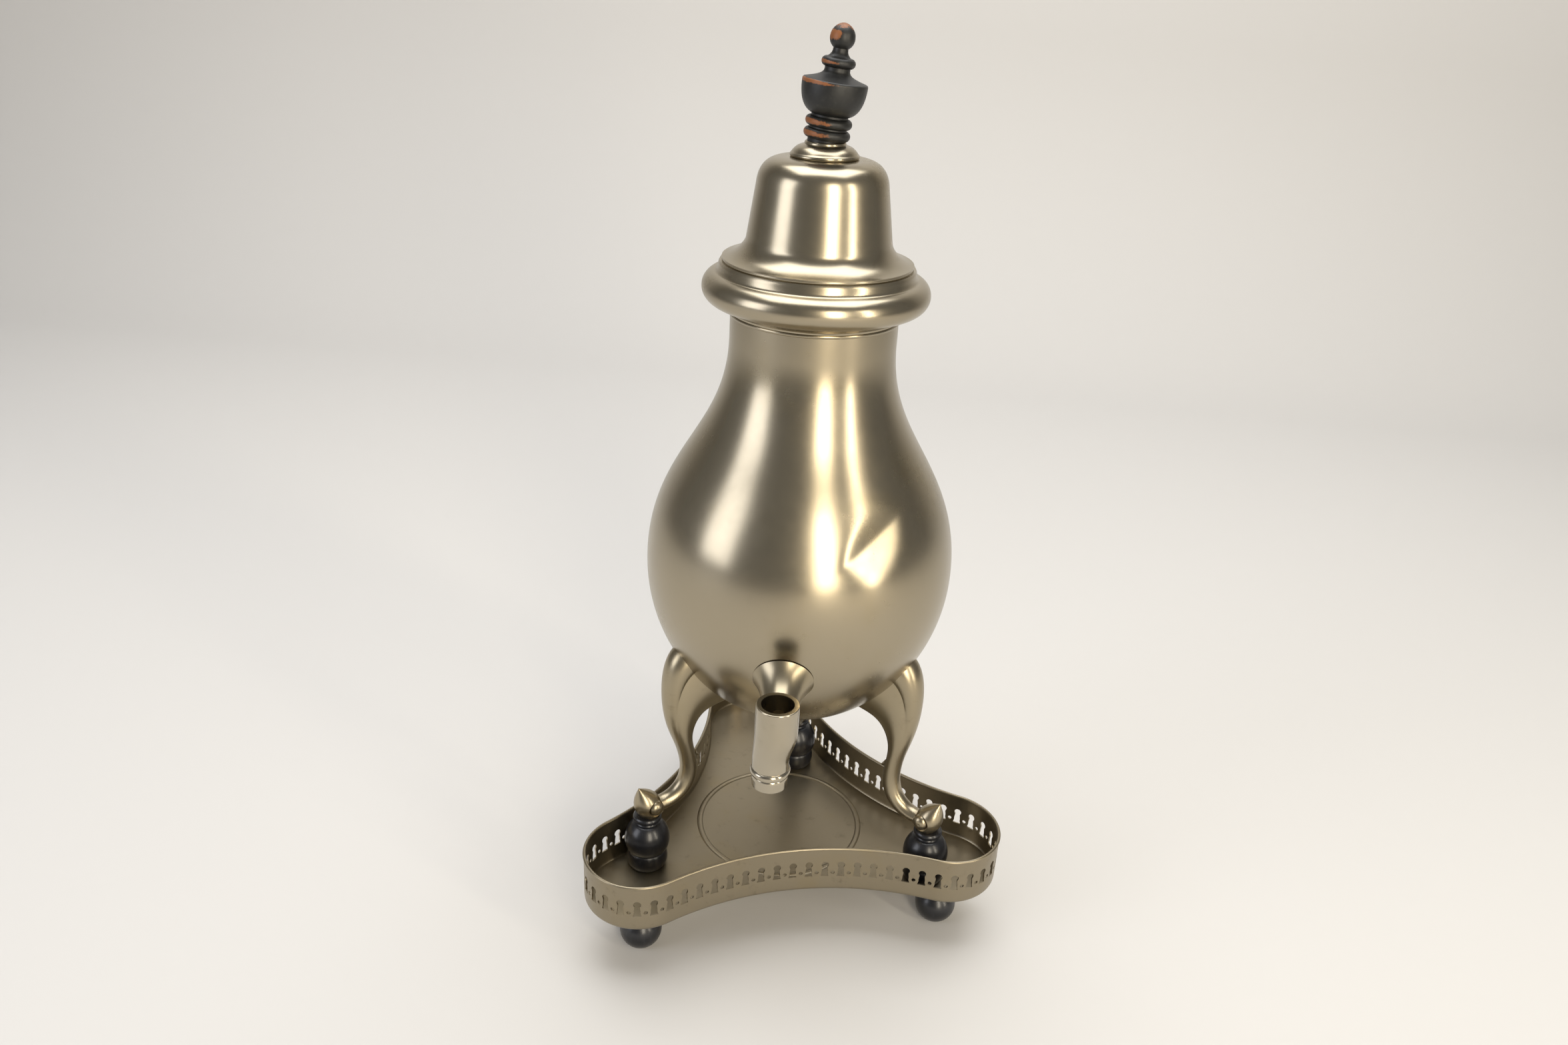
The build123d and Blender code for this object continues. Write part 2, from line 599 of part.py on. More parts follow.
def make_tap_neck():
    """Trumpet from the belly to the barrel, with its passage."""
    horn = turned(
        Line((0, -TAP_FLARE_LENGTH / 2), (TAP_FLARE_RADIUS, -TAP_FLARE_LENGTH / 2)),
        Line((TAP_FLARE_RADIUS, -TAP_FLARE_LENGTH / 2), (TAP_FLARE_RADIUS, 0)),
        Bezier(
            (TAP_FLARE_RADIUS, 0),
            (TAP_FLARE_RADIUS - 2.8, TAP_FLARE_LENGTH * 0.22),
            (TAP_NECK_RADIUS + 0.2, TAP_FLARE_LENGTH * 0.55),
            (TAP_NECK_RADIUS, TAP_FLARE_LENGTH),
        ),
        Line((TAP_NECK_RADIUS, TAP_FLARE_LENGTH), (TAP_NECK_RADIUS, TAP_REACH - TAP_NECK_START)),
        Line((TAP_NECK_RADIUS, TAP_REACH - TAP_NECK_START), (0, TAP_REACH - TAP_NECK_START)),
        Line((0, TAP_REACH - TAP_NECK_START), (0, -TAP_FLARE_LENGTH / 2)),
    )
    neck = Plane(origin=tap_neck_origin(), z_dir=tap_neck_direction()).location * horn
    neck = neck - body_outline(0) - barrel_place() * barrel_block() - tap_passage()
    return Pos(URN_AT) * largest(neck)


def largest(shape):
    """The largest solid of a cut shape."""
    return Part() + max(shape.solids(), key=lambda solid: solid.volume)


def leg_section(outer, inner, width):
    """Softly ridged section between an outer and an inner point of the S."""
    top = Vector(outer[0], 0, outer[1])
    low = Vector(inner[0], 0, inner[1])
    place = Plane(origin=(top + low) * 0.5, x_dir=top - low, z_dir=Vector(0, 1, 0).cross(top - low))
    deep = (top - low).length / 2
    half = width / 2
    ridge_out = (deep * 0.45, half * 0.86)
    ridge_in = (-deep * 0.82, half * 0.55)
    section = make_face(
        [
            ThreePointArc((ridge_out[0], -ridge_out[1]), (deep, 0), ridge_out),
            ThreePointArc(ridge_out, (-deep * 0.15, half), ridge_in),
            ThreePointArc(ridge_in, (-deep, 0), (ridge_in[0], -ridge_in[1])),
            ThreePointArc((ridge_in[0], -ridge_in[1]), (-deep * 0.15, -half), (ridge_out[0], -ridge_out[1])),
        ]
    )
    return place * section


def drawn_in(point, reach):
    """Station point moved for a foot that stands nearer or farther than usual."""
    rise_of_toe = LEG_FOOT_HEIGHT + TOE_SHOULDER
    share = (LEG_KNEE_RISE - point[1]) / (LEG_KNEE_RISE - rise_of_toe - TOE_SHOULDER)
    share = min(1.0, max(0.0, share))
    blend = share * share * (3 - 2 * share)
    return (point[0] + (reach - LEG_NOMINAL_REACH) * blend, point[1] + PLATE_TOP)


def eye_boss():
    """Domed button about Z that stands in the toe's side."""
    rim = EYE_OUT - EYE_CROWN
    crown = ThreePointArc((EYE_RADIUS, rim), (EYE_RADIUS * 0.72, rim + EYE_CROWN * 0.7), (0, EYE_OUT))
    return turned(
        Line((0, 0), (EYE_RADIUS, 0)),
        Line((EYE_RADIUS, 0), (EYE_RADIUS, rim)),
        crown,
        Line((0, EYE_OUT), (0, 0)),
    )


def make_toe(reach):
    """Bud over the foot, leaning outward, with grooved eye bosses on its sides."""
    bud = turned(
        Line((0, -1.5), (TOE_RADIUS * 0.6, -1.5)),
        ThreePointArc(
            (TOE_RADIUS * 0.6, -1.5), (TOE_RADIUS * 0.93, TOE_SHOULDER * 0.42), (TOE_RADIUS, TOE_SHOULDER)
        ),
        Bezier(
            (TOE_RADIUS, TOE_SHOULDER),
            (TOE_RADIUS, TOE_LENGTH * 0.62),
            (TOE_RADIUS * 0.36, TOE_LENGTH * 0.82),
            (0, TOE_LENGTH),
        ),
        Line((0, TOE_LENGTH), (0, -1.5)),
    )
    bud = Pos(reach - TOE_SET_BACK, 0, TOE_BASE) * Rot(0, TOE_LEAN, 0) * bud
    for turn in (90, -90):
        eye = Pos(reach - TOE_SET_BACK, 0, TOE_BASE + EYE_UP) * Rot(turn, 0, 0)
        groove_floor = TOE_RADIUS - EYE_GROOVE_DEPTH * 2
        bud -= eye * rod(EYE_RADIUS + EYE_GROOVE, groove_floor, TOE_RADIUS + 5)
        bud += eye * eye_boss()
    return bud


def make_leg(azimuth, reach):
    """Cast S-leg: bracket on the belly, knee, ankle, spur and toe."""
    sections = [
        leg_section(drawn_in(outer, reach), drawn_in(inner, reach), width)
        for outer, inner, width in LEG_STATIONS
    ]
    leg = loft(sections)
    spur_reach, spur_z = drawn_in((58.4, SPUR_RISE), reach)
    leg += Pos(spur_reach, 0, spur_z) * Rot(0, -125, 0) * Pos(0, 0, SPUR_LENGTH / 2) * Cone(
        SPUR_RADIUS, SPUR_RADIUS * 0.3, SPUR_LENGTH
    )
    leg += make_toe(reach)
    leg -= slab(0, TOE_BASE)
    leg -= body_outline(0)
    leg -= Pos(reach, 0, 0) * rod(LEG_PIN_RADIUS, 0, TOE_BASE + LEG_PIN_IN_TOE)
    return Pos(URN_AT) * Rot(0, 0, azimuth) * largest(leg)


def make_leg_foot(azimuth, reach):
    """Turned wooden foot: base ring, groove, ball, neck and collar."""
    top = PLATE_TOP + LEG_FOOT_HEIGHT
    groove = PLATE_TOP + LEG_FOOT_GROOVE_RISE
    collar = top - LEG_FOOT_COLLAR_HEIGHT
    foot = turned(
        Line((0, PLATE_TOP), (LEG_FOOT_SOLE_RADIUS, PLATE_TOP)),
        ThreePointArc(
            (LEG_FOOT_SOLE_RADIUS, PLATE_TOP),
            (LEG_FOOT_BASE_RADIUS, PLATE_TOP + LEG_FOOT_GROOVE_RISE / 2),
            (LEG_FOOT_GROOVE_RADIUS, groove - 0.3),
        ),
        Line((LEG_FOOT_GROOVE_RADIUS, groove - 0.3), (LEG_FOOT_GROOVE_RADIUS, groove + 0.3)),
        Bezier(
            (LEG_FOOT_GROOVE_RADIUS, groove + 0.3),
            (LEG_FOOT_BALL_RADIUS + 1.1, groove + 4.0),
            (LEG_FOOT_BALL_RADIUS + 1.0, groove + 12.5),
            (LEG_FOOT_NECK_RADIUS + 1.4, collar - 1.8),
        ),
        ThreePointArc(
            (LEG_FOOT_NECK_RADIUS + 1.4, collar - 1.8),
            (LEG_FOOT_NECK_RADIUS + 0.2, collar - 1.1),
            (LEG_FOOT_NECK_RADIUS, collar),
        ),
        Line((LEG_FOOT_NECK_RADIUS, collar), (LEG_FOOT_COLLAR_RADIUS - 0.7, collar)),
        ThreePointArc(
            (LEG_FOOT_COLLAR_RADIUS - 0.7, collar),
            (LEG_FOOT_COLLAR_RADIUS, collar + LEG_FOOT_COLLAR_HEIGHT / 2),
            (LEG_FOOT_COLLAR_RADIUS - 0.7, top),
        ),
        Line((LEG_FOOT_COLLAR_RADIUS - 0.7, top), (0, top)),
        Line((0, top), (0, PLATE_TOP)),
    )
    foot -= rod(LEG_PIN_RADIUS, top - LEG_PIN_IN_FOOT, top + 1)
    return Pos(URN_AT + polar(reach, azimuth)) * foot


def make_leg_pins():
    """Pins that join the toes to their wooden feet."""
    pin = rod(LEG_PIN_RADIUS, TOE_BASE - LEG_PIN_IN_FOOT, TOE_BASE + LEG_PIN_IN_TOE)
    return Compound([Pos(URN_AT + polar(reach, azimuth)) * pin for azimuth, reach in LEGS.values()])


def dome_block(inset):
    """Bell shape of the lid about Z, drawn in by an inset."""
    edge = LID_FLANGE_RADIUS - inset
    flare = DOME_FLARE_RADIUS - inset
    shoulder = DOME_SHOULDER_RADIUS - inset
    top = DOME_TOP - inset
    base = DOME_BASE - (inset > 0)
    lip = DOME_BASE + 0.5
    return turned(
        Line((0, base), (edge, base)),
        Line((edge, base), (edge, lip)),
        Bezier(
            (edge, lip), (edge - 5.5, lip + 0.8), (flare + 0.9, DOME_BASE + DOME_FLARE_RISE - 3.6),
            (flare, DOME_BASE + DOME_FLARE_RISE),
        ),
        Line((flare, DOME_BASE + DOME_FLARE_RISE), (shoulder, DOME_BASE + DOME_SHOULDER_RISE)),
        Bezier(
            (shoulder, DOME_BASE + DOME_SHOULDER_RISE),
            (shoulder - 0.9, DOME_BASE + DOME_SHOULDER_RISE + 8.2),
            (DOME_TOP_RADIUS + 7.0, top),
            (DOME_TOP_RADIUS, top),
        ),
        Line((DOME_TOP_RADIUS, top), (0, top)),
        Line((0, top), (0, base)),
    )


def make_dome():
    """Bell-shaped lid shell with the stud's hole in its crown."""
    hole = rod(FINIAL_STUD_RADIUS + DOME_HOLE_CLEARANCE, DOME_TOP - 5, DOME_TOP + 5)
    return Pos(URN_AT) * (dome_block(0) - dome_block(DOME_WALL) - hole)


def make_lid_flange():
    """Flat ring on the ledge with the locating tube that hangs in the neck."""
    tube = NECK_RADIUS - BODY_WALL - LOCATING_CLEARANCE
    ring = rod(LID_FLANGE_RADIUS, LEDGE_Z, DOME_BASE) + rod(tube, LEDGE_Z - LOCATING_DEPTH, DOME_BASE)
    return Pos(URN_AT) * (ring - rod(tube - LOCATING_WALL, LEDGE_Z - LOCATING_DEPTH - 1, DOME_BASE + 1))


def make_finial_collar():
    """Stepped collar on the crown: rounded lower edge, ogee and top ring."""
    edge = DOME_TOP + COLLAR_EDGE
    collar = turned(
        Line((0, DOME_TOP), (COLLAR_RADIUS - 0.6, DOME_TOP)),
        ThreePointArc(
            (COLLAR_RADIUS - 0.6, DOME_TOP), (COLLAR_RADIUS, DOME_TOP + COLLAR_EDGE / 2), (COLLAR_RADIUS - 0.6, edge)
        ),
        Bezier(
            (COLLAR_RADIUS - 0.6, edge),
            (COLLAR_RADIUS - 2.4, edge + 2.9),
            (COLLAR_TOP_RADIUS + 1.9, COLLAR_TOP - 1.7),
            (COLLAR_TOP_RADIUS + 0.5, COLLAR_TOP - 1.2),
        ),
        ThreePointArc(
            (COLLAR_TOP_RADIUS + 0.5, COLLAR_TOP - 1.2), (COLLAR_TOP_RADIUS + 0.4, COLLAR_TOP - 0.5),
            (COLLAR_TOP_RADIUS, COLLAR_TOP),
        ),
        Line((COLLAR_TOP_RADIUS, COLLAR_TOP), (0, COLLAR_TOP)),
        Line((0, COLLAR_TOP), (0, DOME_TOP)),
    )
    return Pos(URN_AT) * (collar - rod(FINIAL_STUD_RADIUS, DOME_TOP - 1, COLLAR_TOP + 1))


def finial_place():
    """Location of the finial's base on the collar, leaning with its bent stud."""
    return Pos(URN_AT + Vector(0, 0, COLLAR_TOP)) * Rot(0, FINIAL_LEAN, 0)


def make_finial():
    """Turned finial: two rings, a bowl, a small ring and an acorn tip."""
    tip = FINIAL_HEIGHT
    wood = turned(
        Line((0, -1.5), (8.15, -1.5)),
        Line((8.15, -1.5), (8.15, 0.8)),
        ThreePointArc((8.15, 0.8), (10.4, 3.0), (8.4, 5.2)),
        Line((8.4, 5.2), (8.35, 5.8)),
        ThreePointArc((8.35, 5.8), (10.4, 8.0), (8.15, 10.2)),
        Line((8.15, 10.2), (8.15, 11.0)),
        Bezier((8.15, 11.0), (12.8, 12.6), (14.4, 18.0), (14.4, 24.2)),
        ThreePointArc((14.4, 24.2), (14.2, 25.0), (13.5, 25.4)),
        Bezier((13.5, 25.4), (9.0, 26.6), (6.0, 27.4), (5.6, 29.4)),
        Line((5.6, 29.4), (5.6, 30.6)),
        ThreePointArc((5.6, 30.6), (7.45, 32.7), (5.2, 34.8)),
        Bezier((5.2, 34.8), (3.7, 35.8), (3.3, 36.8), (3.3, 38.4)),
        ThreePointArc((3.3, 38.4), (5.1, 40.6), (5.45, 43.2)),
        Bezier((5.45, 43.2), (5.3, 46.2), (2.4, tip), (0, tip)),
        Line((0, tip), (0, -1.5)),
    )
    wood = finial_place() * (wood - rod(FINIAL_STUD_RADIUS, -3, FINIAL_STUD_IN_WOOD))
    return wood - slab(COLLAR_TOP - 10, COLLAR_TOP)


def make_finial_stud():
    """Stud from under the nut to the finial, bent where it leaves the collar."""
    low = DOME_TOP - DOME_WALL - WASHER_SHEET - NUT_HEIGHT - FINIAL_STUD_TAIL
    lean = math.radians(FINIAL_LEAN)
    end = (FINIAL_STUD_IN_WOOD * math.sin(lean), 0, COLLAR_TOP + FINIAL_STUD_IN_WOOD * math.cos(lean))
    path = FilletPolyline((0, 0, low), (0, 0, COLLAR_TOP), end, radius=FINIAL_STUD_BEND)
    return Pos(URN_AT) * sweep(Pos(0, 0, low) * Circle(FINIAL_STUD_RADIUS), path=path)


def make_finial_washer():
    """Washer under the crown."""
    high = DOME_TOP - DOME_WALL
    washer = rod(WASHER_RADIUS, high - WASHER_SHEET, high)
    return Pos(URN_AT) * (washer - rod(FINIAL_STUD_RADIUS + DOME_HOLE_CLEARANCE, high - 5, high + 1))


def make_finial_nut():
    """Hexagon nut under the washer."""
    low = DOME_TOP - DOME_WALL - WASHER_SHEET - NUT_HEIGHT
    corner = NUT_ACROSS_FLATS / math.sqrt(3)
    nut = Pos(0, 0, low) * extrude(RegularPolygon(corner, 6), NUT_HEIGHT)
    return Pos(URN_AT) * (nut - rod(FINIAL_STUD_RADIUS, low - 1, low + NUT_HEIGHT + 1))


def all_parts():
    """Every sub-part by its name."""
    parts = {
        "tray_plate": make_plate(),
        "tray_gallery": make_gallery(),
        "gallery_rim_wire": make_rim_wire(),
        "tray_foot_studs": make_tray_studs(),
        "urn_body": make_body(),
        "rim_moulding": make_moulding(),
        "neck_bead": make_neck_bead(),
        "tap_neck": make_tap_neck(),
        "tap_barrel": make_barrel(),
        "leg_foot_pins": make_leg_pins(),
        "lid_dome": make_dome(),
        "lid_flange": make_lid_flange(),
        "finial_collar": make_finial_collar(),
        "finial": make_finial(),
        "finial_stud": make_finial_stud(),
        "finial_washer": make_finial_washer(),
        "finial_nut": make_finial_nut(),
    }
    for name, spot in tray_foot_places().items():
        parts[f"tray_foot_{name}"] = Pos(spot) * make_tray_foot()
    for name, (azimuth, reach) in LEGS.items():
        parts[f"leg_{name}"] = make_leg(azimuth, reach)
        parts[f"leg_foot_{name}"] = make_leg_foot(azimuth, reach)
    return parts


def main():
    """Build every sub-part and write one STEP file for each."""
    os.makedirs("parts", exist_ok=True)
    for name, part in all_parts().items():
        export_step(part, f"parts/{name}.step")
        box = part.bounding_box()
        print(f"{name:18s} {len(part.solids())} solid(s) z {box.min.Z:7.2f} to {box.max.Z:7.2f}")


if __name__ == "__main__":
    main()
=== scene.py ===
"""Looks of an antique nickel-plated coffee urn on its three-lobed gallery tray."""

import json
import logging
import math
from dataclasses import dataclass, field
from enum import Enum
from typing import Callable, Iterable

import bmesh
import bpy
from mathutils import Matrix, Vector
from mathutils.bvhtree import BVHTree

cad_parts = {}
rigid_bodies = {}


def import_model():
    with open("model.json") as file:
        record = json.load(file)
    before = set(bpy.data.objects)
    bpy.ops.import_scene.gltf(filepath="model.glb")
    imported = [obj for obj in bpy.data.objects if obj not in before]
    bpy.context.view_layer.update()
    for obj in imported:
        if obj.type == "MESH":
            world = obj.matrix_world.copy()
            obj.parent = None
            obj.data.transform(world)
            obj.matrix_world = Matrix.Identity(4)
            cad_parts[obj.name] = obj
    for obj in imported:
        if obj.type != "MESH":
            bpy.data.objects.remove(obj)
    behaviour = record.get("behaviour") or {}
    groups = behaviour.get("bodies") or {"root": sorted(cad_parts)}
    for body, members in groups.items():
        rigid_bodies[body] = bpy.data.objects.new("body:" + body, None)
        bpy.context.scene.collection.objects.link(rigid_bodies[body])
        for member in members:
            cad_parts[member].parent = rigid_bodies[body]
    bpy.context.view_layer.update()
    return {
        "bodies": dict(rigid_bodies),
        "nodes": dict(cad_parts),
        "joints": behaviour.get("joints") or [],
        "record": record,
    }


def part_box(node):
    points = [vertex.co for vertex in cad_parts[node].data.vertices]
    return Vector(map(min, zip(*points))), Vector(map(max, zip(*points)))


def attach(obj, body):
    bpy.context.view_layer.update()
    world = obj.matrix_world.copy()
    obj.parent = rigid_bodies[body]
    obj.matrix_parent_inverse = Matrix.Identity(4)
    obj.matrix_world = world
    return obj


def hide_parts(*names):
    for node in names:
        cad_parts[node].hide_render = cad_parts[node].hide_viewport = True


LOG = logging.getLogger("coffee_urn")
MM = 0.001
# Radius in millimetres below which a point counts as on the axis.
ON_AXIS = 1e-6
# These two keep a logarithm and an exponential finite.
TINY = 1e-12
EXPONENT_CAP = 40.0

Point = tuple[float, float]
Colour = tuple[float, float, float, float]


class Slot(Enum):
    """Material slots of the record, which each finish names as its own."""

    WORN_NICKEL = "worn_nickel"
    BRIGHT_NICKEL = "bright_nickel"
    EBONISED_WOOD = "ebonised_wood"
    WORN_BLACK_WOOD = "worn_black_wood"
    PLAIN_BRASS = "plain_brass"


class Body(Enum):
    """Bodies that the pieces ride on."""

    TRAY = "tray"
    URN = "urn"
    LID = "lid"


def linear(code: str) -> Colour:
    """Turn an sRGB hex code into a linear colour.

    Args:
        code: six hex digits after a hash sign.

    Returns:
        Linear red, green, blue and an alpha of one.
    """
    parts = [int(code[i : i + 2], 16) / 255 for i in (1, 3, 5)]
    low = [c / 12.92 if c <= 0.04045 else ((c + 0.055) / 1.055) ** 2.4 for c in parts]
    return (low[0], low[1], low[2], 1.0)


def add_node(tree: bpy.types.NodeTree, kind: str, inputs: dict, **settings: object) -> bpy.types.Node:
    """Add a node, set its own settings and set or link its inputs.

    Args:
        tree: node tree that gets the node.
        kind: Blender's name of the node type.
        inputs: values or output sockets by input name or index.
        settings: attributes of the node itself.

    Returns:
        The new node.
    """
    node = tree.nodes.new(kind)
    for name, value in settings.items():
        setattr(node, name, value)
    for key, value in inputs.items():
        if isinstance(value, bpy.types.NodeSocket):
            tree.links.new(value, node.inputs[key])
        else:
            node.inputs[key].default_value = value
    return node


def new_material(name: str) -> tuple[bpy.types.Material, bpy.types.NodeTree, bpy.types.Node]:
    """Start a material with an empty tree and an output.

    Args:
        name: name of the finish.

    Returns:
        The material, its tree and its output node.
    """
    material = bpy.data.materials.new(name)
    material.use_nodes = True
    tree = material.node_tree
    tree.nodes.clear()
    return material, tree, tree.nodes.new("ShaderNodeOutputMaterial")


def polar(angle: float) -> Vector:
    """Unit vector at an angle about the vertical, counted from the right.

    Args:
        angle: the angle, radians.

    Returns:
        The vector, level with the floor.
    """
    return Vector((math.cos(angle), math.sin(angle), 0))


@dataclass(frozen=True)
class NickelPlate:
    """Nickel plate on brass, polished long ago and rubbed satin: soft, warm reflections.

    The yellow patches are brass showing through, the brown ones are old tarnish.
    """

    name: str
    slot: Slot
    plate: str = "#a69c87"
    brass: str = "#98875f"
    tarnish: str = "#766c57"
    roughness: float = 0.25
    patch_mm: float = 45.0
    speck_mm: float = 6.0
    scratch_mm: float = 0.9
    brass_share: float = 0.3
    tarnish_share: float = 0.06
    bump_mm: float = 0.008
    bump_strength: float = 0.05
    rub_stretch: float = 0.12
    brass_range: Point = (0.5, 0.78)
    tarnish_range: Point = (0.56, 0.78)
    rough_range: Point = (0.12, 0.42)
    rough_spread: Point = (-0.01, 0.03)
    centre_mm: Point = (0.0, 0.0)

    def build(self) -> bpy.types.Material:
        """Build the material.

        Returns:
            The finished material.
        """
        material, tree, output = new_material(self.name)
        where = add_node(tree, "ShaderNodeTexCoord", {}).outputs["Object"]
        centre = (-self.centre_mm[0] * MM, -self.centre_mm[1] * MM, 0)
        placed = add_node(tree, "ShaderNodeMapping", {"Vector": where, "Location": centre}).outputs["Vector"]
        patch = add_node(
            tree,
            "ShaderNodeTexNoise",
            {"Vector": placed, "Scale": 1 / (self.patch_mm * MM), "Detail": 5.0, "Roughness": 0.55},
        ).outputs["Fac"]
        speck = add_node(
            tree,
            "ShaderNodeTexNoise",
            {"Vector": placed, "Scale": 1 / (self.speck_mm * MM), "Detail": 6.0, "Roughness": 0.65},
        ).outputs["Fac"]
        stretch = (self.rub_stretch, self.rub_stretch, 1.0)
        rubbed = add_node(tree, "ShaderNodeMapping", {"Vector": placed, "Scale": stretch}).outputs["Vector"]
        scratch = add_node(
            tree, "ShaderNodeTexNoise", {"Vector": rubbed, "Scale": 1 / (self.scratch_mm * MM), "Detail": 4.0}
        )
        colour: bpy.types.NodeSocket | Colour = linear(self.plate)
        for pattern, span, share, tint in (
            (patch, self.brass_range, self.brass_share, self.brass),
            (speck, self.tarnish_range, self.tarnish_share, self.tarnish),
        ):
            mask = add_node(
                tree,
                "ShaderNodeMapRange",
                {"Value": pattern, "From Min": span[0], "From Max": span[1]},
                interpolation_type="SMOOTHSTEP",
            )
            amount = add_node(
                tree, "ShaderNodeMath", {0: mask.outputs["Result"], 1: share}, operation="MULTIPLY"
            ).outputs[0]
            mixed = add_node(
                tree, "ShaderNodeMix", {"Factor": amount, 6: colour, 7: linear(tint)}, data_type="RGBA"
            )
            colour = mixed.outputs[2]
        unevenness = add_node(tree, "ShaderNodeMath", {0: patch, 1: speck}, operation="MULTIPLY")
        rough = add_node(
            tree,
            "ShaderNodeMapRange",
            {
                "Value": unevenness.outputs[0],
                "From Min": self.rough_range[0],
                "From Max": self.rough_range[1],
                "To Min": self.roughness + self.rough_spread[0],
                "To Max": self.roughness + self.rough_spread[1],
            },
        )
        bump = add_node(
            tree,
            "ShaderNodeBump",
            {"Height": scratch.outputs["Fac"], "Strength": self.bump_strength, "Distance": self.bump_mm * MM},
        )
        shader = add_node(
            tree,
            "ShaderNodeBsdfPrincipled",
            {
                "Base Color": colour,
                "Metallic": 1.0,
                "Roughness": rough.outputs["Result"],
                "Normal": bump.outputs["Normal"],
            },
        )
        tree.links.new(shader.outputs["BSDF"], output.inputs["Surface"])
        return material


@dataclass(frozen=True)
class EbonisedWood:
    """Beech turned, stained blue-black and waxed: half gloss with a fine grain up the axis."""

    name: str = "ebonised_beech"
    slot: Slot = Slot.EBONISED_WOOD
    stain: str = "#121318"
    dust: str = "#26272c"
    roughness: float = 0.34
    wax: float = 0.25
    wax_roughness: float = 0.2
    grain_mm: float = 1.6
    grain_stretch: float = 0.15
    grain_range: Point = (0.52, 0.8)
    grain_depth_mm: float = 0.05
    bump_strength: float = 0.3

    def build(self) -> bpy.types.Material:
        """Build the material.

        Returns:
            The finished material.
        """
        material, tree, output = new_material(self.name)
        where = add_node(tree, "ShaderNodeTexCoord", {}).outputs["Object"]
        stretch = (1.0, 1.0, self.grain_stretch)
        along = add_node(tree, "ShaderNodeMapping", {"Vector": where, "Scale": stretch}).outputs["Vector"]
        grain = add_node(
            tree,
            "ShaderNodeTexNoise",
            {"Vector": along, "Scale": 1 / (self.grain_mm * MM), "Detail": 5.0, "Roughness": 0.6},
        ).outputs["Fac"]
        mask = add_node(
            tree,
            "ShaderNodeMapRange",
            {"Value": grain, "From Min": self.grain_range[0], "From Max": self.grain_range[1]},
            interpolation_type="SMOOTHSTEP",
        ).outputs["Result"]
        colour = add_node(
            tree,
            "ShaderNodeMix",
            {"Factor": mask, 6: linear(self.stain), 7: linear(self.dust)},
            data_type="RGBA",
        )
        bump = add_node(
            tree,
            "ShaderNodeBump",
            {"Height": grain, "Strength": self.bump_strength, "Distance": self.grain_depth_mm * MM},
        )
        shader = add_node(
            tree,
            "ShaderNodeBsdfPrincipled",
            {
                "Base Color": colour.outputs[2],
                "Roughness": self.roughness,
                "Coat Weight": self.wax,
                "Coat Roughness": self.wax_roughness,
                "Normal": bump.outputs["Normal"],
            },
        )
        tree.links.new(shader.outputs["BSDF"], output.inputs["Surface"])
        return material


@dataclass(frozen=True)
class WornFinialWood:
    """Turned fruitwood painted matt black, worn to brown on its proud edges; the tip gets the same brown as a
    painted highlight.
    """

    name: str = "worn_painted_fruitwood_tip_highlight"
    slot: Slot = Slot.WORN_BLACK_WOOD
    paint: str = "#151514"
    faded: str = "#262622"
    # Bare fruitwood brown: real wear on the proud edges and a painted highlight at the tip.
    wood: str = "#84512b"
    roughness: float = 0.45
    chip_mm: float = 2.2
    fade_range: Point = (0.45, 0.8)
    wood_and_tip_highlight_range: Point = (1.0, 1.22)
    chip_depth_mm: float = 0.06
    bump_strength: float = 0.35

    def build(self) -> bpy.types.Material:
        """Build the material.

        Returns:
            The finished material.
        """
        material, tree, output = new_material(self.name)
        where = add_node(tree, "ShaderNodeTexCoord", {}).outputs["Object"]
        chips = add_node(
            tree,
            "ShaderNodeTexNoise",
            {"Vector": where, "Scale": 1 / (self.chip_mm * MM), "Detail": 6.0, "Roughness": 0.6},
        ).outputs["Fac"]
        # The stored mask holds real wear on the proud edges and a painted highlight at the tip.
        wear_and_tip_highlight = add_node(tree, "ShaderNodeAttribute", {}, attribute_name="wear_and_tip_highlight").outputs["Fac"]
        worn = add_node(tree, "ShaderNodeMath", {0: wear_and_tip_highlight, 1: chips}, operation="ADD").outputs[0]
        colour: bpy.types.NodeSocket | Colour = linear(self.paint)
        for pattern, span, tint in ((chips, self.fade_range, self.faded), (worn, self.wood_and_tip_highlight_range, self.wood)):
            mask = add_node(
                tree,
                "ShaderNodeMapRange",
                {"Value": pattern, "From Min": span[0], "From Max": span[1]},
                interpolation_type="SMOOTHSTEP",
            ).outputs["Result"]
            mixed = add_node(
                tree, "ShaderNodeMix", {"Factor": mask, 6: colour, 7: linear(tint)}, data_type="RGBA"
            )
            colour = mixed.outputs[2]
        bump = add_node(
            tree,
            "ShaderNodeBump",
            {"Height": chips, "Strength": self.bump_strength, "Distance": self.chip_depth_mm * MM},
        )
        shader = add_node(
            tree,
            "ShaderNodeBsdfPrincipled",
            {"Base Color": colour, "Roughness": self.roughness, "Normal": bump.outputs["Normal"]},
        )
        tree.links.new(shader.outputs["BSDF"], output.inputs["Surface"])
        return material


@dataclass(frozen=True)
class DullBrass:
    """Plain turned brass of the hidden fixings, never plated and gone dull."""

    name: str = "dull_turned_brass"
    slot: Slot = Slot.PLAIN_BRASS
    brass: str = "#a8853f"
    aged: str = "#7d6330"
    roughness: float = 0.42
    mottle_mm: float = 2.0

    def build(self) -> bpy.types.Material:
        """Build the material.

        Returns:
            The finished material.
        """
        material, tree, output = new_material(self.name)
        where = add_node(tree, "ShaderNodeTexCoord", {}).outputs["Object"]
        mottle = add_node(
            tree, "ShaderNodeTexNoise", {"Vector": where, "Scale": 1 / (self.mottle_mm * MM), "Detail": 4.0}
        )
        colour = add_node(
            tree,
            "ShaderNodeMix",
            {"Factor": mottle.outputs["Fac"], 6: linear(self.brass), 7: linear(self.aged)},
            data_type="RGBA",
        )
        shader = add_node(
            tree,
            "ShaderNodeBsdfPrincipled",
            {"Base Color": colour.outputs[2], "Metallic": 1.0, "Roughness": self.roughness},
        )
        tree.links.new(shader.outputs["BSDF"], output.inputs["Surface"])
        return material


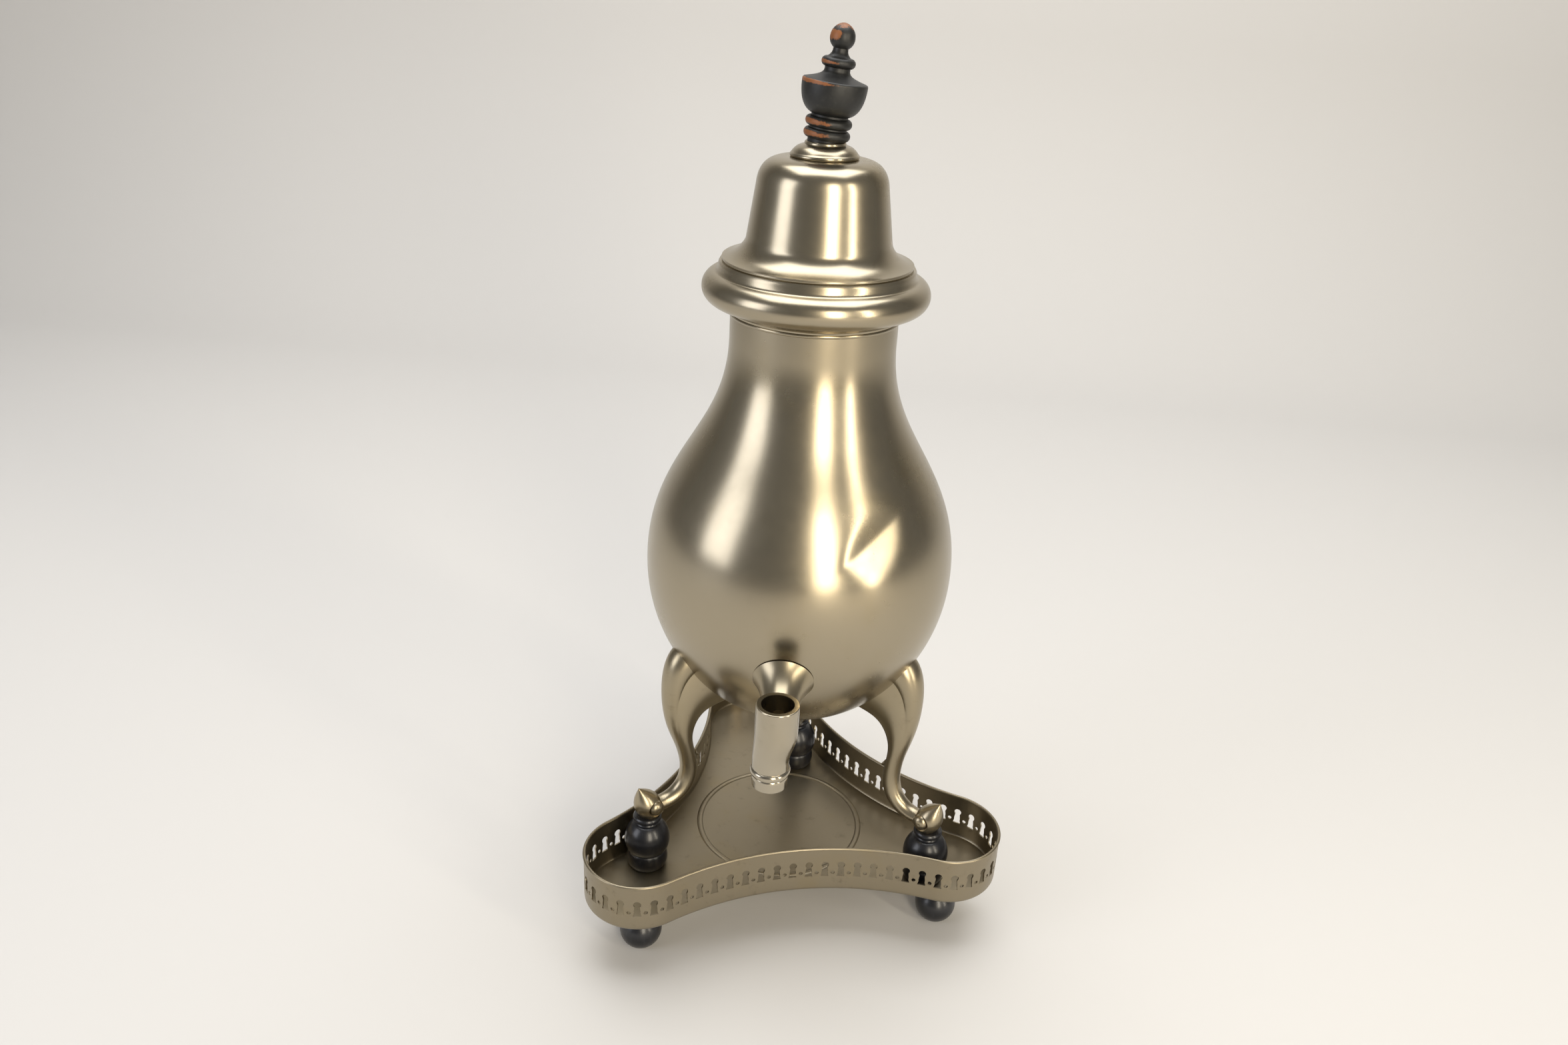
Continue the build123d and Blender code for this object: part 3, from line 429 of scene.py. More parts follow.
class Profile:
    """Outline in (radius, height) millimetres, drawn stroke by stroke."""

    def __init__(self, start: Point) -> None:
        """Start the outline at a point.

        Args:
            start: first point.
        """
        self.points: list[Point] = [start]

    def line(self, end: Point, steps: int = 1) -> "Profile":
        """Draw a straight stroke.

        Args:
            end: last point.
            steps: spans that the stroke is cut into.

        Returns:
            The profile itself.
        """
        first = self.points[-1]
        for step in range(1, steps + 1):
            share = step / steps
            self.points.append(tuple(a + (b - a) * share for a, b in zip(first, end)))
        return self

    def curve(self, near: Point, far: Point, end: Point, steps: int = 14) -> "Profile":
        """Draw a cubic stroke with two handles.

        Args:
            near: handle of the first point.
            far: handle of the last point.
            end: last point.
            steps: spans of the stroke.

        Returns:
            The profile itself.
        """
        first = self.points[-1]
        for step in range(1, steps + 1):
            t = step / steps
            weights = ((1 - t) ** 3, 3 * t * (1 - t) ** 2, 3 * t * t * (1 - t), t**3)
            corners = (first, near, far, end)
            self.points.append(tuple(sum(w * c[axis] for w, c in zip(weights, corners)) for axis in (0, 1)))
        return self

    def arc(self, middle: Point, end: Point, steps: int = 10) -> "Profile":
        """Draw the arc through a middle point.

        Args:
            middle: point that the arc passes.
            end: last point.
            steps: spans of the arc.

        Returns:
            The profile itself.
        """
        (ax, ay), (bx, by), (cx, cy) = self.points[-1], middle, end
        twice = 2 * (ax * (by - cy) + bx * (cy - ay) + cx * (ay - by))
        squares = (ax * ax + ay * ay, bx * bx + by * by, cx * cx + cy * cy)
        ux = (squares[0] * (by - cy) + squares[1] * (cy - ay) + squares[2] * (ay - by)) / twice
        uy = (squares[0] * (cx - bx) + squares[1] * (ax - cx) + squares[2] * (bx - ax)) / twice
        radius = math.hypot(ax - ux, ay - uy)
        start = math.atan2(ay - uy, ax - ux)
        sweep = (math.atan2(cy - uy, cx - ux) - start) % math.tau
        passing = (math.atan2(by - uy, bx - ux) - start) % math.tau
        if passing > sweep:
            sweep -= math.tau
        for step in range(1, steps + 1):
            angle = start + sweep * step / steps
            self.points.append((ux + radius * math.cos(angle), uy + radius * math.sin(angle)))
        return self


def mesh_object(
    name: str, verts: list, faces: list, sharp_degrees: float = 38.0, weld: float = 1e-7
) -> bpy.types.Object:
    """Make an object from vertices and faces, normals outward and smooth but for sharp edges.

    Args:
        name: name of the piece.
        verts: vertex places in metres.
        faces: index tuples.
        sharp_degrees: angle past which an edge stays sharp.
        weld: distance in metres below which vertices are joined.

    Returns:
        The linked object.
    """
    mesh = bpy.data.meshes.new(name)
    mesh.from_pydata(verts, [], faces)
    work = bmesh.new()
    work.from_mesh(mesh)
    bmesh.ops.remove_doubles(work, verts=work.verts, dist=weld)
    bmesh.ops.recalc_face_normals(work, faces=work.faces)
    work.to_mesh(mesh)
    work.free()
    mesh.shade_smooth()
    mesh.set_sharp_from_angle(angle=math.radians(sharp_degrees))
    piece = bpy.data.objects.new(name, mesh)
    bpy.context.scene.collection.objects.link(piece)
    return piece


def lathe(
    name: str,
    points: list[Point],
    place: Matrix,
    segments: int = 128,
    closed: bool = False,
    turn: Callable[[float], float] = lambda angle: angle,
) -> bpy.types.Object:
    """Turn an outline about its own axis into a closed piece.

    Args:
        name: name of the piece.
        points: outline in (radius, height) millimetres; it starts and ends on the axis unless closed.
        place: matrix from the outline's frame to the object's frame, in millimetres.
        segments: steps round the axis.
        closed: True where the outline is a loop away from the axis.
        turn: spreads the steps round the axis, for finer steps where they are needed.

    Returns:
        The linked object.
    """
    angles = [turn(math.tau * step / segments) for step in range(segments)]
    verts: list[Vector] = []
    rings: list[list[int]] = []
    for radius, height in points:
        if radius < ON_AXIS:
            verts.append(place @ Vector((0, 0, height)) * MM)
            rings.append([len(verts) - 1] * segments)
            continue
        rings.append(list(range(len(verts), len(verts) + segments)))
        verts += [place @ Vector((radius * math.cos(a), radius * math.sin(a), height)) * MM for a in angles]
    pairs = list(zip(rings, rings[1:] + rings[:1])) if closed else list(zip(rings, rings[1:]))
    faces = []
    for low, high in pairs:
        for step in range(segments):
            following = (step + 1) % segments
            corners = (low[step], low[following], high[following], high[step])
            unique = tuple(dict.fromkeys(corners))
            if len(unique) > 2:
                faces.append(unique)
    return mesh_object(name, verts, faces)


def dress(piece: bpy.types.Object, finish: "Finish", body: Body, nodes: Iterable[str]) -> bpy.types.Object:
    """Give a piece its finish and its body, and let it stand for its nodes.

    Args:
        piece: the object.
        finish: finish with its material.
        body: body that carries it.
        nodes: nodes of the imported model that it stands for.

    Returns:
        The same object.
    """
    piece.data.materials.clear()
    piece.data.materials.append(finish.material)
    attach(piece, body.value)
    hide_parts(*nodes)
    LOG.info("%s stands for %s on %s", piece.name, ", ".join(nodes), body.value)
    return piece


def smoothed_copy(frame: dict, node: str, name: str, sharp_degrees: float = 32.0) -> bpy.types.Object:
    """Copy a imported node, weld it and shade it smooth but for its real edges.

    Args:
        frame: the loaded frame.
        node: name of the node.
        name: name of the new piece.
        sharp_degrees: angle past which an edge stays sharp.

    Returns:
        The linked copy.
    """
    solid = frame["nodes"][node].data
    verts = [vert.co.copy() for vert in solid.vertices]
    faces = [tuple(face.vertices) for face in solid.polygons]
    return mesh_object(name, verts, faces, sharp_degrees, weld=1e-6)


@dataclass
class Finish:
    """A built material with the slot it belongs to."""

    material: bpy.types.Material
    slot: Slot


@dataclass
class Workshop:
    """The finishes that every sub-assembly uses, and where the urn and the tray stand."""

    frame: dict
    urn_at: Vector = field(init=False)
    tray_at: Vector = field(init=False)

    def __post_init__(self) -> None:
        """Measure the places from the frame and build the finishes."""
        low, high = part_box("rim_moulding")
        self.urn_at = (Vector(low) + Vector(high)) / 2 / MM
        self.urn_at.z = 0
        mount = next(m for m in self.frame["record"]["mounts"] if m["name"] == "burner_seat")
        self.tray_at = Vector(mount["pos_m"]) / MM
        self.tray_at.z = 0
        centre = (self.urn_at.x, self.urn_at.y)
        makers = {
            "body": NickelPlate("worn_nickel_plate", Slot.WORN_NICKEL, centre_mm=centre),
            "tray": NickelPlate(
                "stained_nickel_plate",
                Slot.WORN_NICKEL,
                plate="#948a76",
                tarnish="#5f5748",
                roughness=0.36,
                tarnish_share=0.4,
                patch_mm=26.0,
            ),
            "cast": NickelPlate(
                "cast_nickel_plate", Slot.WORN_NICKEL, plate="#a1967f", roughness=0.3, tarnish_share=0.3
            ),
            "tap": NickelPlate(
                "polished_nickel_plate",
                Slot.BRIGHT_NICKEL,
                plate="#b0a897",
                roughness=0.2,
                brass_share=0.2,
                tarnish_share=0.15,
            ),
            "feet": EbonisedWood(),
            "finial": WornFinialWood(),
            "brass": DullBrass(),
        }
        self.finishes = {name: Finish(maker.build(), maker.slot) for name, maker in makers.items()}

    def urn_place(self, height: float = 0.0) -> Matrix:
        """Matrix of the urn's axis at a height.

        Args:
            height: height above the table, millimetres.

        Returns:
            The matrix, in millimetres.
        """
        return Matrix.Translation(self.urn_at + Vector((0, 0, height)))

    def keep_as_brass(self, *nodes: str) -> None:
        """Give hidden brass fixings their finish and keep their solids.

        Args:
            nodes: names of the nodes.
        """
        for node in nodes:
            for slot in self.frame["nodes"][node].material_slots:
                slot.material = self.finishes["brass"].material
            LOG.info("%s keeps its solid", node)


@dataclass
class Vessel:
    """Pear-shaped body with its dent, the rim moulding and the neck bead."""

    shop: Workshop
    base_radius: float = 22.0
    base_z: float = 118.54
    belly_radius: float = 77.0
    belly_z: float = 200.0
    belly_depth: float = 85.0
    neck_radius: float = 39.4
    neck_start: float = 314.0
    belly_handle: float = 53.0
    neck_handle: float = 48.0
    ledge_z: float = 350.5
    wall: float = 1.0
    moulding_height: float = 23.0
    roll_radius: float = 53.0
    roll_drop: float = 12.0
    roll_half: float = 7.0
    ledge_radius: float = 44.8
    bead_radius: float = 0.9
    dent_low: Point = (-69.0, 31.0)
    dent_high: Point = (-45.0, 47.0)
    dent_depth: float = 0.5
    dent_upper_degrees: float = 10.0
    dent_lower_degrees: float = 4.5
    dent_reach: float = 26.0
    dent_azimuth: float = -57.0
    dent_crowding: float = 0.6
    crease_mm: float = 0.12
    lip_mm: float = 0.45
    segments: int = 300
    ledge_step: float = 1.0
    skirt: float = 0.6
    flare_step: float = 2.6

    def outer_strokes(self, profile: Profile, inset: float, upward: bool) -> Profile:
        """Draw the pear's side, up or down.

        Args:
            profile: profile that gets the strokes.
            inset: how far the outline is drawn in.
            upward: True from the base to the neck, False back down.

        Returns:
            The profile.
        """
        belly = self.belly_radius - inset
        depth = self.belly_depth - inset
        neck = self.neck_radius - inset
        cosine = self.base_radius / self.belly_radius
        sine = math.sqrt(1 - cosine**2)
        handle = 4 / 3 * math.tan(math.asin(sine) / 4)
        base = (belly * cosine, self.belly_z - depth * sine)
        base_handle = (base[0] + handle * belly * sine, base[1] + handle * depth * cosine)
        under_handle = (belly, self.belly_z - handle * depth)
        over_handle = (belly, self.belly_z + self.belly_handle)
        neck_handle = (neck, self.neck_start - self.neck_handle)
        if upward:
            profile.curve(base_handle, under_handle, (belly, self.belly_z), 44)
            return profile.curve(over_handle, neck_handle, (neck, self.neck_start), 120)
        profile.curve(neck_handle, over_handle, (belly, self.belly_z), 30)
        return profile.curve(under_handle, base_handle, base, 20)

    def make_body(self) -> bpy.types.Object:
        """Make the vessel, thin-walled and open at the neck, with its dent.

        Returns:
            The piece.
        """
        profile = Profile((0, self.base_z)).line((self.base_radius, self.base_z), 3)
        self.outer_strokes(profile, 0, True)
        profile.line((self.neck_radius, self.ledge_z), 6)
        outer_rings = len(profile.points) - 1
        profile.line((self.neck_radius - self.wall, self.ledge_z))
        profile.line((self.neck_radius - self.wall, self.neck_start), 4)
        self.outer_strokes(profile, self.wall, False)
        profile.line((0, self.base_z + self.wall))
        middle = math.radians(self.dent_azimuth)

        def finer(angle: float) -> float:
            """Spread the steps so that they are finest at the dent."""
            return angle - self.dent_crowding * math.sin(angle - middle)

        body = lathe("urn_vessel", profile.points, self.shop.urn_place(), self.segments, turn=finer)
        self.press_dent(body, 1 + outer_rings * self.segments)
        return dress(body, self.shop.finishes["body"], Body.URN, ["urn_body"])

    def shoulder_radius(self, rise: float) -> float:
        """Radius of the pear at a height above the belly.

        Args:
            rise: height above the belly line, millimetres.

        Returns:
            The radius, millimetres.
        """
        low, high = 0.0, 1.0
        full = self.neck_start - self.belly_z
        for _ in range(40):
            t = (low + high) / 2
            early = 3 * t * (1 - t) ** 2 * self.belly_handle
            late = 3 * t**2 * (1 - t) * (full - self.neck_handle)
            low, high = (t, high) if early + late + t**3 * full < rise else (low, t)
        blend = t**2 * (3 - 2 * t)
        return self.belly_radius * (1 - blend) + self.neck_radius * blend

    def press_dent(self, body: bpy.types.Object, inner_from: int) -> None:
        """Push the crease into the belly, with soft lips where the metal gave way.

        Args:
            body: the vessel.
            inner_from: index of the first vertex of the inner face, which is pressed a wall deeper.
        """
        ends = []
        radii = []
        for degrees, rise in (self.dent_low, self.dent_high):
            radii.append(self.shoulder_radius(rise))
            spot = polar(math.radians(degrees)) * radii[-1] + Vector((0, 0, self.belly_z + rise))
            ends.append(spot + self.shop.urn_at)
        crease = (ends[1] - ends[0]).normalized()
        middle = (ends[0] + ends[1]) / 2
        outward = middle - self.shop.urn_at
        slope = (radii[0] - radii[1]) / (self.dent_high[1] - self.dent_low[1])
        outward.z = math.hypot(outward.x, outward.y) * slope
        outward = (outward - crease * outward.dot(crease)).normalized()
        across = outward.cross(crease)
        edge = middle - outward * self.dent_depth
        normals = []
        for side, degrees in ((1, self.dent_upper_degrees), (-1, self.dent_lower_degrees)):
            tilt = math.radians(degrees)
            normals.append(outward * math.cos(tilt) - across * (side * math.sin(tilt)))
        for vert in body.data.vertices:
            place = vert.co / MM
            offset = place - (edge - outward * self.wall if vert.index >= inner_from else edge)
            if offset.length > self.dent_reach:
                continue
            heights = [offset.dot(normal) for normal in normals]
            joined = -self.crease_mm * math.log(sum(math.exp(-h / self.crease_mm) for h in heights) + TINY)
            push = self.lip_mm * math.log1p(math.exp(min(joined / self.lip_mm, EXPONENT_CAP)))
            vert.co = (place - outward * push) * MM
        body.data.update()

    def make_moulding(self) -> bpy.types.Object:
        """Make the rim moulding: flare, half-round roll, cove and ledge.

        Returns:
            The piece.
        """
        bottom = self.ledge_z - self.moulding_height
        roll = self.ledge_z - self.roll_drop
        root = self.roll_radius - self.roll_half * 0.8
        flare = root - self.flare_step
        inner = self.neck_radius
        skirt = inner + self.skirt
        shoulder = self.ledge_z - self.ledge_step
        ledge = self.ledge_radius
        low = roll - self.roll_half
        high = roll + self.roll_half
        profile = Profile((inner, bottom)).line((skirt, bottom))
        profile.curve((skirt, bottom + 1.5), (flare - 2.0, low - 1.3), (flare, low - 0.6), 20)
        profile.line((root, low)).arc((self.roll_radius, roll), (root, high), 28)
        profile.curve((root - 1.6, high + 0.2), (ledge + 0.9, shoulder - 1.4), (ledge + 0.6, shoulder), 12)
        profile.line((ledge, self.ledge_z)).line((inner, self.ledge_z))
        ring = lathe("rim_roll", profile.points, self.shop.urn_place(), 256, closed=True)
        return dress(ring, self.shop.finishes["body"], Body.URN, ["rim_moulding"])

    def make_bead(self) -> bpy.types.Object:
        """Make the bead wire round the neck.

        Returns:
            The piece.
        """
        high = self.ledge_z - self.moulding_height
        low = high - 2 * self.bead_radius
        neck = self.neck_radius
        profile = Profile((neck, low)).arc((neck + self.bead_radius, (low + high) / 2), (neck, high), 10)
        bead = lathe("neck_wire", profile.points, self.shop.urn_place(), 256, closed=True)
        return dress(bead, self.shop.finishes["body"], Body.URN, ["neck_bead"])

    def make(self) -> None:
        """Make every piece of the vessel."""
        self.make_body()
        self.make_moulding()
        self.make_bead()


@dataclass
class Lid:
    """Bell-shaped lid, its flange, the collar and the leaning finial."""

    shop: Workshop
    base: float = 351.7
    flange_radius: float = 44.0
    flare_radius: float = 33.4
    flare_rise: float = 9.0
    shoulder_radius: float = 29.8
    shoulder_rise: float = 34.0
    crown_radius: float = 17.0
    height: float = 45.3
    wall: float = 1.0
    stud_hole: float = 2.3
    ledge_z: float = 350.5
    tube_radius: float = 38.0
    tube_depth: float = 9.0
    tube_wall: float = 1.0
    collar_radius: float = 15.5
    collar_edge: float = 2.0
    collar_top_radius: float = 8.8
    collar_height: float = 7.0
    collar_bore: float = 2.0
    finial_lean: float = 6.0
    finial_height: float = 48.6

    def bell(self, profile: Profile, inset: float, upward: bool) -> Profile:
        """Draw the bell's side, up or down.

        Args:
            profile: profile that gets the strokes.
            inset: how far the bell is drawn in.
            upward: True from the edge to the crown, False back down.

        Returns:
            The profile.
        """
        edge = self.flange_radius - inset
        flare = self.flare_radius - inset
        shoulder = self.shoulder_radius - inset
        top = self.base + self.height - inset
        lip = (edge, self.base + 0.5)
        flare_point = (flare, self.base + self.flare_rise)
        shoulder_point = (shoulder, self.base + self.shoulder_rise)
        low = ((edge - 5.5, lip[1] + 0.8), (flare + 0.9, flare_point[1] - 3.6))
        high = ((shoulder - 0.9, shoulder_point[1] + 8.2), (self.crown_radius + 7.0, top))
        if upward:
            profile.line(lip).curve(low[0], low[1], flare_point, 22).line(shoulder_point, 14)
            return profile.curve(high[0], high[1], (self.crown_radius, top), 24)
        profile.line((self.crown_radius, top)).curve(high[1], high[0], shoulder_point, 14)
        return profile.line(flare_point, 6).curve(low[1], low[0], lip, 12)

    def make_bell(self) -> bpy.types.Object:
        """Make the thin bell with the stud's hole.

        Returns:
            The piece.
        """
        profile = Profile((self.flange_radius, self.base))
        self.bell(profile, 0, True).line((self.stud_hole, self.base + self.height), 2)
        profile.line((self.stud_hole, self.base + self.height - self.wall))
        self.bell(profile, self.wall, False).line((self.flange_radius - self.wall, self.base))
        bell = lathe("lid_bell", profile.points, self.shop.urn_place(), 220, closed=True)
        return dress(bell, self.shop.finishes["body"], Body.LID, ["lid_dome"])

    def make_flange(self) -> bpy.types.Object:
        """Make the flat flange with the locating tube.

        Returns:
            The piece.
        """
        inner = self.tube_radius - self.tube_wall
        low = self.ledge_z - self.tube_depth
        profile = Profile((inner, self.base)).line((inner, low)).line((self.tube_radius, low))
        profile.line((self.tube_radius, self.ledge_z)).line((self.flange_radius - 0.2, self.ledge_z))
        profile.arc((self.flange_radius, self.ledge_z + 0.5), (self.flange_radius, self.base), 6)
        flange = lathe("lid_seat_ring", profile.points, self.shop.urn_place(), 220, closed=True)
        return dress(flange, self.shop.finishes["body"], Body.LID, ["lid_flange"])

    def make_collar(self) -> bpy.types.Object:
        """Make the stepped collar under the finial.

        Returns:
            The piece.
        """
        low = self.base + self.height
        edge = low + self.collar_edge
        top = low + self.collar_height
        rim = self.collar_radius - 0.6
        ring = self.collar_top_radius
        bore = self.collar_bore
        profile = Profile((bore, low)).line((rim, low))
        profile.arc((self.collar_radius, low + self.collar_edge / 2), (rim, edge), 10)
        profile.curve((rim - 1.8, edge + 2.9), (ring + 1.9, top - 1.7), (ring + 0.5, top - 1.2), 16)
        profile.arc((ring + 0.4, top - 0.5), (ring, top), 6).line((bore, top))
        collar = lathe("collar_turning", profile.points, self.shop.urn_place(), 160, closed=True)
        return dress(collar, self.shop.finishes["body"], Body.LID, ["finial_collar"])

    def make_finial(self) -> bpy.types.Object:
        """Make the turned wooden finial, leaning on its bent stud.

        Returns:
            The piece.
        """
        tip = self.finial_height
        profile = Profile((0, -0.9)).line((8.15, -0.9)).line((8.15, 0.8))
        profile.arc((10.4, 3.0), (8.4, 5.2), 12).line((8.35, 5.8)).arc((10.4, 8.0), (8.15, 10.2), 12)
        profile.line((8.15, 11.0)).curve((12.8, 12.6), (14.4, 18.0), (14.4, 24.2), 16)
        profile.arc((14.2, 25.0), (13.5, 25.4), 5).curve((9.0, 26.6), (6.0, 27.4), (5.6, 29.4), 12)
        profile.line((5.6, 30.6)).arc((7.45, 32.7), (5.2, 34.8), 12)
        profile.curve((3.7, 35.8), (3.3, 36.8), (3.3, 38.4), 8).arc((5.1, 40.6), (5.45, 43.2), 8)
        profile.curve((5.3, 46.2), (2.4, tip), (0, tip), 12)
        top = self.base + self.height + self.collar_height
        place = self.shop.urn_place(top) @ Matrix.Rotation(math.radians(self.finial_lean), 4, "Y")
        finial = lathe("finial_turning", profile.points, place, 96)
        self.trim_below(finial, top)
        self.mark_wear_and_tip_highlight(finial, place)
        return dress(finial, self.shop.finishes["finial"], Body.LID, ["finial"])

    def trim_below(self, finial: bpy.types.Object, top: float) -> None:
        """Set the finial's base flat on the collar.

        Args:
            finial: the piece.
            top: height of the collar's top.
        """
        for vert in finial.data.vertices:
            vert.co.z = max(vert.co.z, top * MM)

    def mark_wear_and_tip_highlight(self, finial: bpy.types.Object, place: Matrix) -> None:
        """Store how worn each point is: proud edges on the left are worn to the bare fruitwood, and the tip
        gets that brown as a painted highlight.

        Args:
            finial: the piece.
            place: its frame, in millimetres.
        """
        # Height, radius and width of each proud edge.
        crests = ((3.0, 10.4, 1.6), (8.0, 10.4, 1.6), (24.4, 14.4, 1.2), (32.7, 7.45, 1.0), (44.0, 5.45, 3.2))
        tip_highlight_reach = 3.2
        edge_depth = 1.2
        worn_side = Vector((-0.87, -0.5, 0))
        back = place.inverted()
        wear_and_tip_highlight = finial.data.attributes.new("wear_and_tip_highlight", "FLOAT", "POINT")
        for vert in finial.data.vertices:
            local = back @ (vert.co / MM)
            radius = math.hypot(local.x, local.y)
            facing = max(0.0, local.dot(worn_side) / max(radius, ON_AXIS))
            # Painted highlight at the tip, in the bare-fruitwood colour.
            tip = math.exp(-(((local.z - self.finial_height) / tip_highlight_reach) ** 2))
            proud = max(
                math.exp(-(((local.z - z) / width) ** 2) - ((radius - rim) / edge_depth) ** 2)
                for z, rim, width in crests
            )
            wear_and_tip_highlight.data[vert.index].value = max(1.05 * proud * (0.2 + 0.8 * facing), 0.75 * tip)

    def make(self) -> None:
        """Make every piece of the lid."""
        self.make_bell()
        self.make_flange()
        self.make_collar()
        self.make_finial()
        self.shop.keep_as_brass("finial_stud", "finial_washer", "finial_nut")


@dataclass
class TrayOutline:
    """Three lobe arcs and three hollow side arcs, all tangent."""

    lobe_reach: float = 93.7
    lobe_radius: float = 28.7
    waist: float = 56.6
    turn: float = -14.7
    arc_steps: int = 80

    def side_radius(self) -> float:
        """Radius that makes the side arcs tangent to the lobes.

        Returns:
            The radius, millimetres.
        """
        top = self.lobe_radius**2 - self.waist**2 - self.lobe_reach**2 + self.waist * self.lobe_reach
        return top / (2 * self.waist - self.lobe_reach - 2 * self.lobe_radius)

    def points(self, inset: float) -> list[Vector]:
        """Points of the outline drawn in by an inset, the same count for every inset.

        Args:
            inset: distance drawn in, millimetres.

        Returns:
            Points about the tray's centre, millimetres.
        """
        side = self.side_radius()
        result: list[Vector] = []
        for index in range(3):
            azimuth = math.radians(self.turn + 120 * index)
            lobe = polar(azimuth) * self.lobe_reach
            hollow = polar(azimuth + math.radians(60)) * (self.waist + side)
            half = (hollow - lobe).angle(polar(azimuth))
            for step in range(self.arc_steps):
                angle = azimuth - half + 2 * half * step / self.arc_steps
                result.append(lobe + polar(angle) * (self.lobe_radius - inset))
            next_lobe = polar(azimuth + math.radians(120)) * self.lobe_reach
            first = math.atan2((lobe - hollow).y, (lobe - hollow).x)
            last = math.atan2((next_lobe - hollow).y, (next_lobe - hollow).x)
            sweep = (last - first + math.pi) % math.tau - math.pi
            for step in range(self.arc_steps):
                angle = first + sweep * step / self.arc_steps
                result.append(hollow + polar(angle) * (side + inset))
        return result


@dataclass
class Tray:
    """Plate, pierced gallery with its wire, and the ball feet."""

    shop: Workshop
    outline: TrayOutline = field(default_factory=TrayOutline)
    plate_under: float = 33.75
    plate_top: float = 34.5
    foot_z: float = 33.0
    band_top: float = 59.8
    rim_top: float = 61.1
    sheet: float = 0.75
    plate_gap: float = 0.7
    plate_rings: tuple[float, ...] = (8.0, 20.0, 32.0, 38.0)
    bend: float = 3.0
    flange: float = 6.0
    overhang: float = 0.36
    ring_radius: float = 44.6
    ring_width: float = 3.2
    ring_height: float = 0.6
    keyholes: int = 81
    head_drop: float = 10.8
    head_radius: float = 1.95
    stem_half: float = 1.3
    stem_drop: float = 12.0
    keyhole_foot: float = 18.2
    foot_half: float = 2.1
    dot_drop: float = 15.9
    dot_radius: float = 1.05
    scallop_radius: float = 2.6
    cell_columns: int = 10
    cell_margin: float = 1.2
    head_steps: int = 12
    stem_steps: int = 8
    bend_steps: int = 6
    dot_sides: int = 14
    foot_reach: float = 93.3
    foot_ball: float = 11.0
    foot_sole: float = 6.0
    foot_neck: float = 5.2
    foot_collar: float = 8.0
    foot_collar_height: float = 6.0

    def shell(self, name: str, section: list[Point], closed: bool) -> bpy.types.Object:
        """Carry a section round the outline.

        Args:
            name: name of the piece.
            section: (inset, height) points, millimetres.
            closed: True where the section is a loop.

        Returns:
            The linked object.
        """
        verts: list[Vector] = []
        rows: list[list[int]] = []
        for inset, height in section:
            row = self.outline.points(inset)
            rows.append(list(range(len(verts), len(verts) + len(row))))
            verts += [(point + self.shop.tray_at + Vector((0, 0, height))) * MM for point in row]
        count = len(rows[0])
        pairs = list(zip(rows, rows[1:] + rows[:1])) if closed else list(zip(rows, rows[1:]))
        faces = [
            (low[i], low[(i + 1) % count], high[(i + 1) % count], high[i])
            for low, high in pairs
            for i in range(count)
        ]
        return mesh_object(name, verts, faces)

    def make_wire(self) -> bpy.types.Object:
        """Make the half-round wire on the band.

        Returns:
            The piece.
        """
        section = Profile((-self.overhang, self.band_top))
        section.arc((self.sheet / 2, self.rim_top), (self.sheet + self.overhang, self.band_top), 12)
        wire = self.shell("gallery_wire", section.points, closed=True)
        return dress(wire, self.shop.finishes["tray"], Body.TRAY, ["gallery_rim_wire"])

    def make_plate(self) -> bpy.types.Object:
        """Make the plate with its pressed ring, round in the middle and lobed at its edge.

        Returns:
            The piece.
        """
        half = self.ring_width / 2
        inner = self.ring_radius - half
        outer = self.ring_radius + half
        edge = self.outline.points(self.sheet + self.plate_gap)
        angles = [math.atan2(p.y, p.x) for p in edge]
        bead = Profile((inner, 0)).arc((self.ring_radius, self.ring_height), (outer, 0), 10).points
        rows: list[list[Vector]] = []
        for radius, rise in [*((ring, 0) for ring in self.plate_rings), *bead]:
            rows.append([polar(a) * radius + Vector((0, 0, rise)) for a in angles])
        rim = rows[-1]
        for share in (0.25, 0.5, 0.75, 1.0):
            rows.append([a.lerp(b, share) for a, b in zip(rim, edge)])
        centres = [self.shop.tray_at + Vector((0, 0, z)) for z in (self.plate_top, self.plate_under)]
        verts = [centre * MM for centre in centres]
        sheets = []
        for centre in centres:
            indices = []
            for row in rows:
                indices.append(list(range(len(verts), len(verts) + len(row))))
                verts += [(point + centre) * MM for point in row]
            sheets.append(indices)
        sides = [(i, (i + 1) % len(edge)) for i in range(len(edge))]
        faces: list[tuple[int, ...]] = []
        for middle, indices in enumerate(sheets):
            faces += [(middle, indices[0][i], indices[0][j]) for i, j in sides]
            for low, high in zip(indices, indices[1:]):
                faces += [(low[i], high[i], high[j], low[j]) for i, j in sides]
        upper, lower = sheets[0][-1], sheets[1][-1]
        faces += [(upper[i], lower[i], lower[j], upper[j]) for i, j in sides]
        plate = mesh_object("tray_sheet", verts, faces, sharp_degrees=20.0)
        return dress(plate, self.shop.finishes["tray"], Body.TRAY, ["tray_plate"])

    def keyhole_loop(self, middle: float, pitch: float) -> list[Point]:
        """Outline of one keyhole in (along, height), with its stem hollowed beside the dots.

        Args:
            middle: where along the band it stands.
            pitch: distance between keyholes.

        Returns:
            The loop's points.
        """
        head = Vector((middle, self.rim_top - self.head_drop, 0))
        points: list[Point] = []
        for step in range(self.head_steps + 1):
            spot = head + polar(math.radians(-45 + 270 * step / self.head_steps)) * self.head_radius
            points.append((spot.x, spot.y))
        left = []
        start = self.stem_drop + 0.3
        stem = self.keyhole_foot - self.stem_drop
        for step in range(self.stem_steps + 1):
            drop = start + (self.keyhole_foot - start) * step / self.stem_steps
            straight = self.stem_half + (self.foot_half - self.stem_half) * (drop - self.stem_drop) / stem
            deep = self.scallop_radius**2 - (drop - self.dot_drop) ** 2
            room = pitch / 2 - math.sqrt(deep) if deep > 0 else straight
            left.append((middle - min(straight, room), self.rim_top - drop))
        points += left
        points += [(2 * middle - x, z) for x, z in reversed(left)]
        return points

